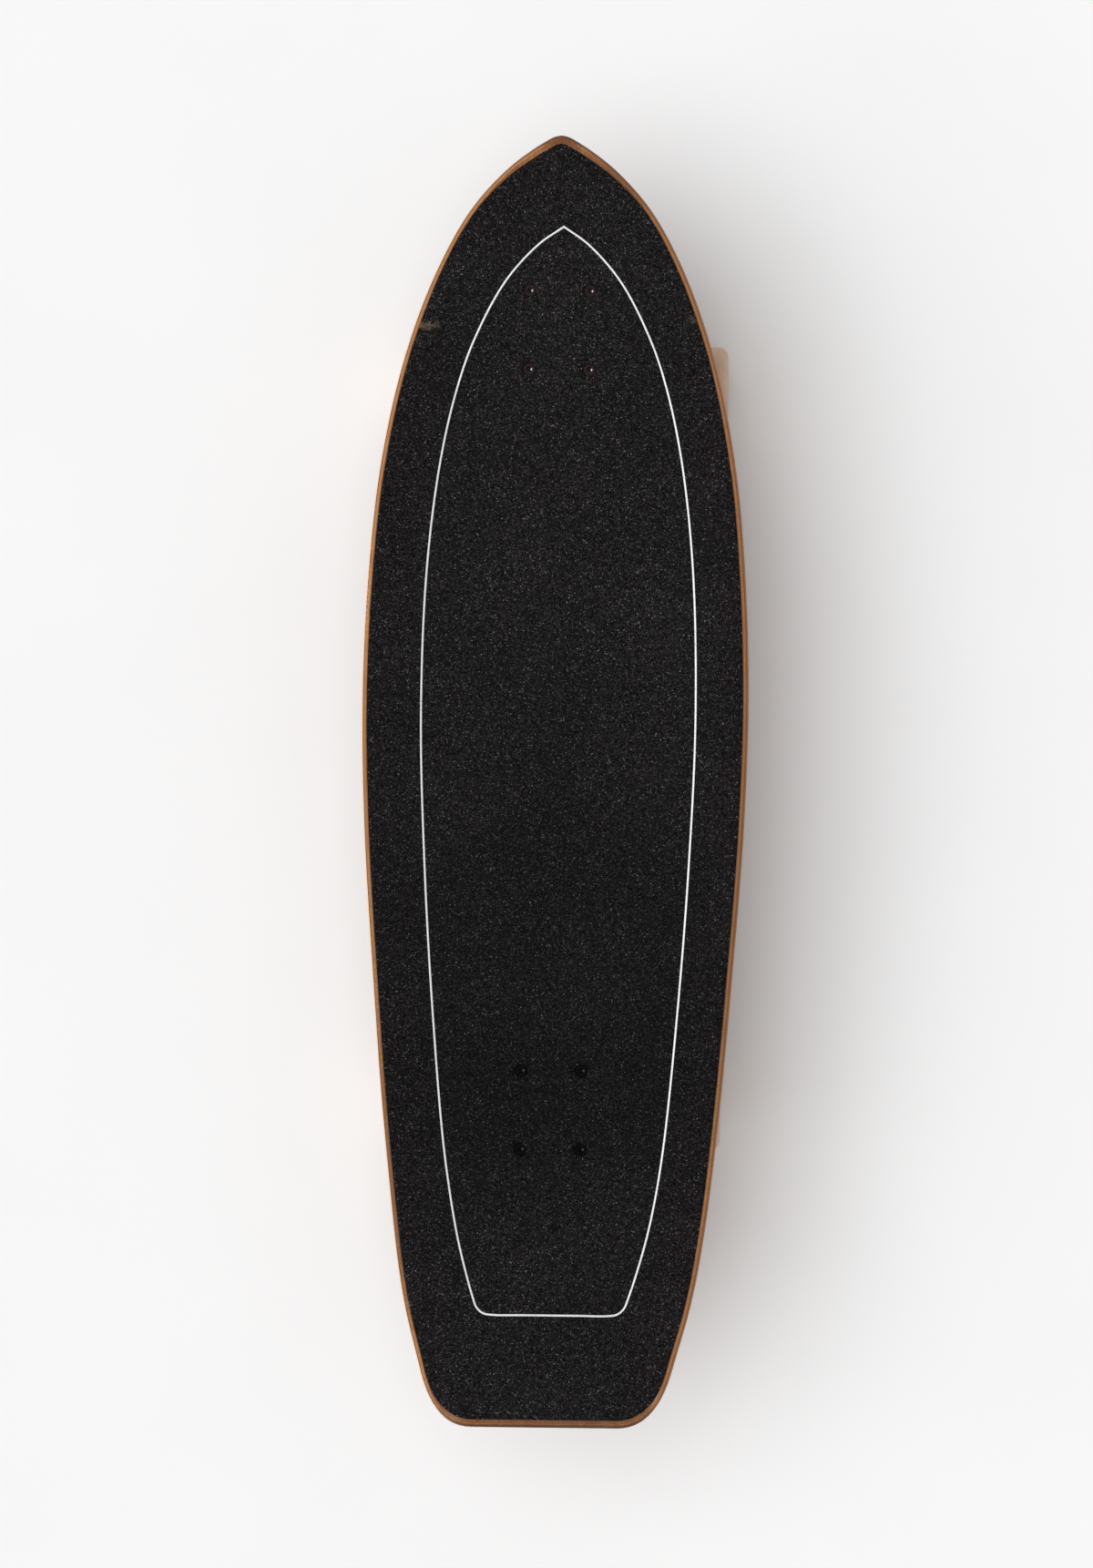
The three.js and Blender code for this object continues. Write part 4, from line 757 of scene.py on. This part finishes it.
def threadRings(radius, low, high, pitch, depth, sides=28):
    turn = np.linspace(0, 1, sides, endpoint=False)
    heights = np.arange(low, high, pitch / 4)
    return np.array([roundRing(radius - depth * np.abs(2 * ((height / pitch - turn) % 1) - 1), height, sides)
                     for height in heights])


# Faces between neighbouring rings: a closed skin joins the last ring to the first, an open one has two caps
def skinRings(name, rings, closed=False, smoothAngle=32):
    count, sides = rings.shape[:2]
    index = np.arange(count * sides).reshape(count, sides)
    faces = [] if closed else [tuple(index[0][::-1]), tuple(index[-1])]
    if closed:
        index = np.vstack([index, index[:1]])
    low, high = index[:-1], index[1:]
    skin = np.stack([low, np.roll(low, -1, 1), np.roll(high, -1, 1), high], -1).reshape(-1, 4)
    faces += [tuple(dict.fromkeys(f)) for f in skin.tolist()]
    return addMesh(name, rings.reshape(-1, 3) * mm, faces, smoothAngle)


# Both halves of a profile that is the same on either side of its middle
def mirrored(half):
    return half + [(radius, -height) for radius, height in reversed(half)]


# A remeshed copy of a cast CAD node, its edges softened as a casting's are
def castCopy(node, voxel, soften, keep):
    piece = bpy.data.objects.new(node + "_skin", cadNodes[node].data.copy())
    scene.collection.objects.link(piece)
    addModifier(piece, "REMESH", mode="VOXEL", voxel_size=voxel * mm)
    addModifier(piece, "SMOOTH", factor=0.5, iterations=soften)
    addModifier(piece, "DECIMATE", ratio=keep)
    keepShape(piece)
    smoothShade(piece.data, 50)
    return piece


# Finish, slot, voxel size in millimetres, rounds of softening, share of faces kept, and the nodes made so
castings = [
    (blackCasting, "cast_black", 0.8, 3, 0.4, ("adapter_base", "swing_arm", "rear_base_plate")),
    (hangerAlloy, "hanger_alloy", 0.9, 4, 0.4, ("front_hanger", "rear_hanger")),
    (mouldedNylon, "riser_nylon", 0.6, 2, 0.25, ("front_riser_pad",)),
    (mouldedNylon, "riser_nylon", 0.8, 2, 0.25, ("rear_riser_pad",)),
    (mouldedNylon, "cup_urethane", 0.45, 2, 0.4, ("front_pivot_cup", "rear_pivot_cup"))
]
for material, slot, voxel, soften, keep, nodes in castings:
    for node in nodes:
        place(castCopy(node, voxel, soften, keep), material, slot, bodyOf[node], node)
print("castings made")


# Skins rings and puts the piece in a node's place, on the node's body
def seat(name, rings, node, closed=True, finish=platedSteel, slot="plated_steel"):
    place(skinRings(name, rings, closed), finish, slot, bodyOf[node], node)


# Wheels and bearings: half profiles of (radius, distance from the middle), and middles along the axle
wheelForm = {
    "sides": 96, "radius": 32.71, "lip": 7.0, "lipSteps": 9, "half": 25.5, "tread": (14.0, 7.0, 0.3),
    "hub": [(8.75, 4.75), (11.05, 4.75), (11.05, 12.0), (11.35, 12.35), (13.7, 12.35), (14.3, 12.55),
            (15.6, 13.9), (17.2, 15.9), (19.2, 18.5), (21.3, 21.3), (23.2, 23.5), (24.2, 24.3),
            (24.6, 24.6), (24.9, 24.9), (25.2, 25.3), (25.6, 25.5)]
}
bearingForm = {
    "sides": 64, "middles": {"outer": 98.5, "inner": 81.5},
    "half": [(4.06, 3.25), (4.3, 3.5), (5.75, 3.5), (5.95, 3.3), (6.1, 3.05), (6.9, 3.0),
             (7.1, 3.12), (8.6, 3.12), (8.8, 3.0), (9.35, 3.0), (9.5, 3.25), (9.7, 3.5),
             (10.6, 3.5), (10.98, 3.1)],
    "spacerSides": 40, "spacer": [(4.5, 4.5), (4.7, 4.7), (5.8, 4.7), (6.0, 4.5)]
}
axleForm = {"radius": 4.0, "threadFrom": 101.6, "end": 111.4, "pitch": 1.06, "depth": 0.5, "sides": 28}
axleNutForm = {
    "ringRadius": 6.8, "ringLow": 12.3, "ringHigh": 12.85, "ringEdge": 0.15, "ringSides": 56,
    "nut": {"across": 12.7, "low": 12.9, "bodyHigh": 17.9, "high": 19.9, "bore": 4.1, "collar": 5.4}
}


def buildWheel(label, side):
    f = wheelForm
    radius, lip, half = f["radius"], f["lip"], f["half"]
    turns = np.linspace(0, math.pi / 2, f["lipSteps"])[1:]
    curve = [(radius - lip + lip * math.sin(a), half - lip + lip * math.cos(a)) for a in turns]
    tread = [(radius, height) for height in f["tread"]]
    return alongAxle(turnedRings(mirrored(f["hub"] + curve + tread), f["sides"]), label, side)


def buildBearing(label, side, middle):
    return alongAxle(turnedRings(mirrored(bearingForm["half"]), bearingForm["sides"]), label, side, middle)


def buildSpacer(label, side):
    rings = turnedRings(mirrored(bearingForm["spacer"]), bearingForm["spacerSides"])
    return alongAxle(rings, label, side)


def buildAxle(label):
    f = axleForm
    radius, sides = f["radius"], f["sides"]
    tip = turnedRings([(0, -f["end"]), (3.1, -f["end"]), (3.6, 0.5 - f["end"])], sides)
    thread = threadRings(radius, 0.9 - f["end"], -f["threadFrom"], f["pitch"], f["depth"], sides)
    middle = [(3.7, -f["threadFrom"]), (radius, 0.4 - f["threadFrom"]), (radius, -60), (radius, 0)]
    half = np.concatenate([tip, thread, turnedRings(middle, sides)])
    return alongAxle(np.concatenate([half, half[-2::-1] * (1, 1, -1)]), label, 1, 0)


def buildSpeedRing(label, side):
    f = axleNutForm
    bore, radius, edge = f["nut"]["bore"], f["ringRadius"], f["ringEdge"]
    low, high = f["ringLow"], f["ringHigh"]
    profile = [(bore, low), (radius - edge, low), (radius, low + edge), (radius, high - edge),
               (radius - edge, high), (bore, high)]
    return alongAxle(turnedRings(profile, f["ringSides"]), label, side)


# A locknut: a chamfered hexagon, then the round collar that holds its plastic ring
def nutRings(across, low, bodyHigh, high, bore, collar):
    edge, flank, corner = across * 0.47, across * 0.495, across / 2 / math.cos(math.pi / 6)
    hexagon = [(edge, low), (flank, low + 0.04), (corner, low + 0.42), (corner, bodyHigh - 0.42),
               (flank, bodyHigh - 0.04), (edge, bodyHigh)]
    dome = [(collar + 0.15, bodyHigh + 0.02), (collar, bodyHigh + 0.2), (collar - 0.1, high - 0.7),
            (collar - 0.7, high - 0.1), (collar - 1.2, high), (bore + 0.3, high - 0.1), (bore, high - 0.5)]
    mouth = turnedRings([(bore, low + 0.3), (bore + 0.3, low)], 72)
    return np.concatenate([mouth, hexRings(hexagon, across), turnedRings(dome, 72)])


def buildRunningGear(label):
    seat(label + "_axle_rod", buildAxle(label), label + "_axle", False)
    for side, sideName in ((1, "right"), (-1, "left")):
        name = f"{label}_{sideName}"
        seat(name + "_tyre", buildWheel(label, side), name + "_wheel", True, wheelUrethane, "wheel_urethane")
        for part, middle in bearingForm["middles"].items():
            node = f"{name}_{part}_bearing"
            seat(node + "_set", buildBearing(label, side, middle), node, True, bearingSteel, "bearing_steel")
        node = name + "_bearing_spacer"
        seat(node + "_tube", buildSpacer(label, side), node)
        locknut = alongAxle(nutRings(**axleNutForm["nut"]), label, side)
        seat(name + "_locknut", locknut, name + "_axle_nut")
        seat(name + "_speed_ring", buildSpeedRing(label, side), name + "_axle_nut")


for label in trucks:
    buildRunningGear(label)
print("wheels, bearings and axles made")

# Kingpin stack, by height along the kingpin from the middle of the hanger's ring
stackForm = {
    "pin": 4.7, "pinEnd": -25.8, "threadTop": -9.0, "pitch": 1.06, "depth": 0.55, "sides": 28,
    "headRadius": 9.0, "headHigh": 5.0, "blendEnds": {"board": (17.8, 4.8), "road": (-14.8, -4.8)},
    "boardBushing": [(5.15, 4.9), (12.2, 4.82), (12.9, 5.2), (13.15, 6.2), (13.4, 9.0), (13.5, 11.3),
                     (13.4, 13.6), (13.15, 16.4), (12.9, 17.4), (12.2, 17.78), (5.15, 17.7)],
    "roadBushing": [(5.15, -4.9), (11.2, -4.82), (11.8, -5.1), (12.0, -5.8), (12.0, -7.6),
                    (11.75, -8.3), (10.9, -11.0), (9.8, -13.8), (9.4, -14.5), (8.8, -14.78),
                    (5.15, -14.7)],
    "upperWasher": [(5.1, 18.2), (11.9, 18.12), (12.7, 17.9), (13.2, 17.45), (13.5, 17.5),
                    (13.4, 18.3), (12.9, 19.0), (12.1, 19.45), (5.1, 19.5)],
    "lowerWasher": [(5.1, -15.2), (9.0, -15.12), (9.7, -14.9), (10.15, -14.5), (10.45, -14.6),
                    (10.35, -15.4), (9.9, -16.1), (9.1, -16.45), (5.1, -16.5)],
    "nut": {"across": 14.3, "low": 16.8, "bodyHigh": 22.0, "high": 24.3, "bore": 4.85, "collar": 6.2}
}


# The head's top is as high as the CAD kingpin's
def buildKingpin(label):
    f = stackForm
    pin, head, end, sides = f["pin"], f["headRadius"], f["pinEnd"], f["sides"]
    lean = math.radians(placing["kingpinLean"])
    high = max(corner[2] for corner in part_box(label + "_kingpin")) / mm
    top = (high - trucks[label]["axle"][1] - placing["ring"][2] - head * math.sin(lean)) / math.cos(lean)
    under = top - f["headHigh"]
    tip = turnedRings([(0, end), (3.5, end), (4.2, end + 0.6)], sides)
    thread = threadRings(pin, end + 0.9, f["threadTop"], f["pitch"], f["depth"], sides)
    shank = [(4.45, f["threadTop"]), (pin, f["threadTop"] + 0.5), (pin, under), (head - 0.5, under),
             (head, under + 0.4), (head, top - 0.6), (head - 0.5, top), (0, top)]
    return onKingpin(np.concatenate([tip, thread, turnedRings(shank, sides)]), label)


def buildKingpinStack(label):
    f = stackForm
    seat(label + "_kingpin_bolt", buildKingpin(label), label + "_kingpin", False)
    for part in ("upper", "lower"):
        node = f"{label}_{part}_washer"
        seat(node + "_cup", onKingpin(turnedRings(f[part + "Washer"]), label), node)
    locknut = onKingpin(nutRings(**f["nut"]) * (1, 1, -1), label)
    seat(label + "_kingpin_locknut", locknut, label + "_kingpin_nut")
    for part, ends in f["blendEnds"].items():
        node = f"{label}_{part}side_bushing"
        rings = onKingpin(turnedRings(f[part + "Bushing"], 72), label)
        bushing = skinRings(node + "_soft", rings, True)
        place(bushing, bushingUrethane, "bushing_urethane", None, node)
        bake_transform(bushing)


for label in trucks:
    buildKingpinStack(label)
print("kingpin stacks made")

# The adapter's pivot and its return spring, in the swing frame
pivotForm = {
    "washer": [(0, -14.3), (12.6, -14.3), (13.0, -14.7), (13.0, -15.9), (12.6, -16.3)],
    "head": [(11.55, -16.35), (11.55, -21.4), (9.2, -22.3)], "across": 17.32, "socket": 7.3,
    "socketDepth": 3.0, "middles": {"upper": 6.5, "lower": -10.5},
    "shank": [(0, -13.9), (6.0, -13.9), (6.0, 18.0), (5.4, 18.6), (0, 18.6)],
    "bearing": [(6.45, 3.2), (6.8, 3.5), (8.7, 3.5), (8.95, 3.2), (9.2, 3.0), (12.6, 3.0), (12.9, 3.2),
                (13.1, 3.5), (14.6, 3.5), (14.98, 3.1)]
}
coilForm = {
    "wire": 1.5, "radius": 20.0, "low": 11.8, "pitch": 3.7, "turns": 3, "leg": 16.0, "legSteps": 6,
    "stepsPerTurn": 48, "sides": 14, "tip": 0.35
}


def buildPivotBolt():
    f = pivotForm
    end = f["head"][-1][1]
    floor = end + f["socketDepth"]
    face = hexRings([(9.0, end)], f["socket"] + 1.0)
    socket = hexRings([(9.0, end + 0.4), (9.0, floor)], f["socket"])
    parts = [turnedRings(f["washer"], 72), hexRings(f["head"], f["across"]), face, socket]
    return inSwing(np.concatenate(parts + [turnedRings([(0, floor + 0.8)], 72)]))


def buildCoil():
    f = coilForm
    t = np.arange(f["turns"] * f["stepsPerTurn"] + 1) / f["stepsPerTurn"]
    angle = math.pi / 2 - t * 2 * math.pi
    coil = np.stack([f["radius"] * np.cos(angle), f["radius"] * np.sin(angle), f["low"] + f["pitch"] * t], -1)
    reach = np.linspace(1, 0, f["legSteps"], endpoint=False)[:, None] * (f["leg"], 0, 0)
    path = np.concatenate([coil[0] - reach, coil, coil[-1] + reach[::-1]])
    along = np.gradient(path, axis=0)
    along /= np.linalg.norm(along, axis=1)[:, None]
    side = np.array([0.0, 0.0, 1.0]) - along * along[:, 2:]
    side /= np.linalg.norm(side, axis=1)[:, None]
    across = np.cross(along, side)
    turn = np.linspace(0, 2 * math.pi, f["sides"], endpoint=False)[None, :, None]
    rings = path[:, None] + f["wire"] * (side[:, None] * np.cos(turn) + across[:, None] * np.sin(turn))
    tip = f["tip"]
    tips = [path[i] + (rings[i] - path[i]) * 0.7 + along[i] * way for i, way in ((0, -tip), (-1, tip))]
    return inSwing(np.concatenate([tips[:1], rings, tips[1:]]))


def buildAdapterPivot():
    f, c = pivotForm, coilForm
    seat("pivot_bolt_head", buildPivotBolt(), "pivot_bolt", False)
    seat("pivot_bolt_shank", inSwing(turnedRings(f["shank"], 48)), "pivot_bolt", False)
    for label, middle in f["middles"].items():
        node = "pivot_bearing_" + label
        rings = inSwing(turnedRings(mirrored(f["bearing"]), 64) + (0, 0, middle))
        seat(node + "_set", rings, node, True, bearingSteel, "bearing_steel")
    coil = skinRings("return_spring_coil", buildCoil(), False, 60)
    place(coil, springSteel, "spring_steel", None, "return_spring")
    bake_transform(coil)


buildAdapterPivot()
print("adapter pivot made")

# Deck bolts: a countersunk head with a hexagon socket, a threaded end and a locknut. The head's profile is
# (radius, height from its top)
deckBoltForm = {
    "headTop": 124.8, "radius": 2.4, "socket": 3.25, "socketDepth": 1.7, "pitch": 0.8,
    "depth": 0.35, "threadRun": 15.0, "tail": 1.0, "sides": 36,
    "plateUnderside": {"front": 105.0, "rear": 89.718},
    "head": [(3.3, 0.0), (4.0, -0.04), (4.28, -0.2), (4.4, -0.5), (2.6, -2.3), (2.4, -2.7)],
    "nut": {"across": 9.5, "low": 0.0, "bodyHigh": 4.0, "high": 6.0, "bore": 2.3, "collar": 3.9}
}


def buildDeckBolt(label):
    f = deckBoltForm
    top, radius, sides = f["headTop"], f["radius"], f["sides"]
    low = f["plateUnderside"][label] - f["nut"]["high"] - f["tail"]
    threadTop, floor = low + f["threadRun"], top - f["socketDepth"]
    socket = hexRings([(9, floor), (9, top - 0.2)], f["socket"], sides)
    mouth = hexRings([(9, top)], f["socket"] + 0.4, sides)
    head = [(width, top + height) for width, height in f["head"]] + [(radius, threadTop + 0.4)]
    head = turnedRings(head, sides)
    thread = threadRings(radius, low + 0.6, threadTop, f["pitch"], f["depth"], sides)[::-1]
    end = turnedRings([(radius - 0.5, low), (0, low)], sides)
    return np.concatenate([turnedRings([(0, floor - 0.3)], sides), socket, mouth, head, thread, end])


def buildDeckBolts():
    f = deckBoltForm
    for i, (x, y) in enumerate(boltSpots):
        label, finish = ("front", bronzeBolt) if i < 4 else ("rear", blackBolt)
        node = f"{label}_deck_bolt_{i % 4 + 1}"
        spot = np.array([x / mm, y / mm, 0])
        screw = skinRings(node + "_screw", buildDeckBolt(label) + spot)
        place(screw, finish, "deck_bolt_steel", "deck", node)
        nut = nutRings(**f["nut"]) * (1, 1, -1) + spot + (0, 0, f["plateUnderside"][label])
        place(skinRings(node + "_locknut", nut, True), platedSteel, "deck_bolt_steel", "deck")


buildDeckBolts()
print("deck bolts made")

# Studio: a pale floor, two broad soft lamps on the left and an even pale room.
# A lamp's share is of the floor's brightness, its tilt from straight up, its heading from the deck's right
studio = {
    "floorHalf": 14.0, "floorHeight": -0.0002, "roomShare": 0.315, "seenRoom": 0.95,
    "paper": (0.93, 0.93, 0.931, 1), "fibre": (0.915, 0.915, 0.916, 1),
    "lamps": {"highLamp": {"share": 0.575, "tilt": 19.0, "heading": 180.0, "wide": 74.0},
              "lowLamp": {"share": 0.13, "tilt": 65.0, "heading": 200.0, "wide": 60.0}}
}


def buildStudio(s):
    ways = ((-1, -1), (1, -1), (1, 1), (-1, 1))
    corners = [(x * s["floorHalf"], y * s["floorHalf"], s["floorHeight"]) for x, y in ways]
    floor = addMesh("studioFloor", corners, [(0, 1, 2, 3)])
    material, tree, bsdf = newMaterial("palePaper", Specular_IOR_Level=0.0, Roughness=0.9)
    cloud = spread(tree, noise(tree, objectPlace(tree), 6.0), 0.3, 0.7)
    feed(tree, bsdf, Base_Color=mixColour(tree, cloud, s["paper"], s["fibre"]))
    floor.data.materials.append(material)
    for name, lamp in s["lamps"].items():
        light = bpy.data.lights.new(name, "SUN")
        light.angle = math.radians(lamp["wide"])
        light.energy = lamp["share"] * math.pi / math.cos(math.radians(lamp["tilt"]))
        lampObject = bpy.data.objects.new(name, light)
        lampObject.rotation_euler = (0, math.radians(lamp["tilt"]), math.radians(lamp["heading"]))
        scene.collection.objects.link(lampObject)
    world = bpy.data.worlds.new("paleRoom")
    scene.world = world
    world.use_nodes = True
    tree = world.node_tree
    background = tree.nodes["Background"]
    background.inputs["Color"].default_value = (1.0, 1.0, 1.0, 1)
    path = addNode(tree, "LightPath").outputs
    seen = gather(tree, "MAXIMUM", [path[f"Is {ray} Ray"] for ray in ("Camera", "Glossy", "Transmission")])
    feed(tree, background, Strength=spread(tree, seen, 0, 1, s["roomShare"], s["seenRoom"]))


buildStudio(studio)
scene.view_settings.view_transform = "Standard"
print("studio set")
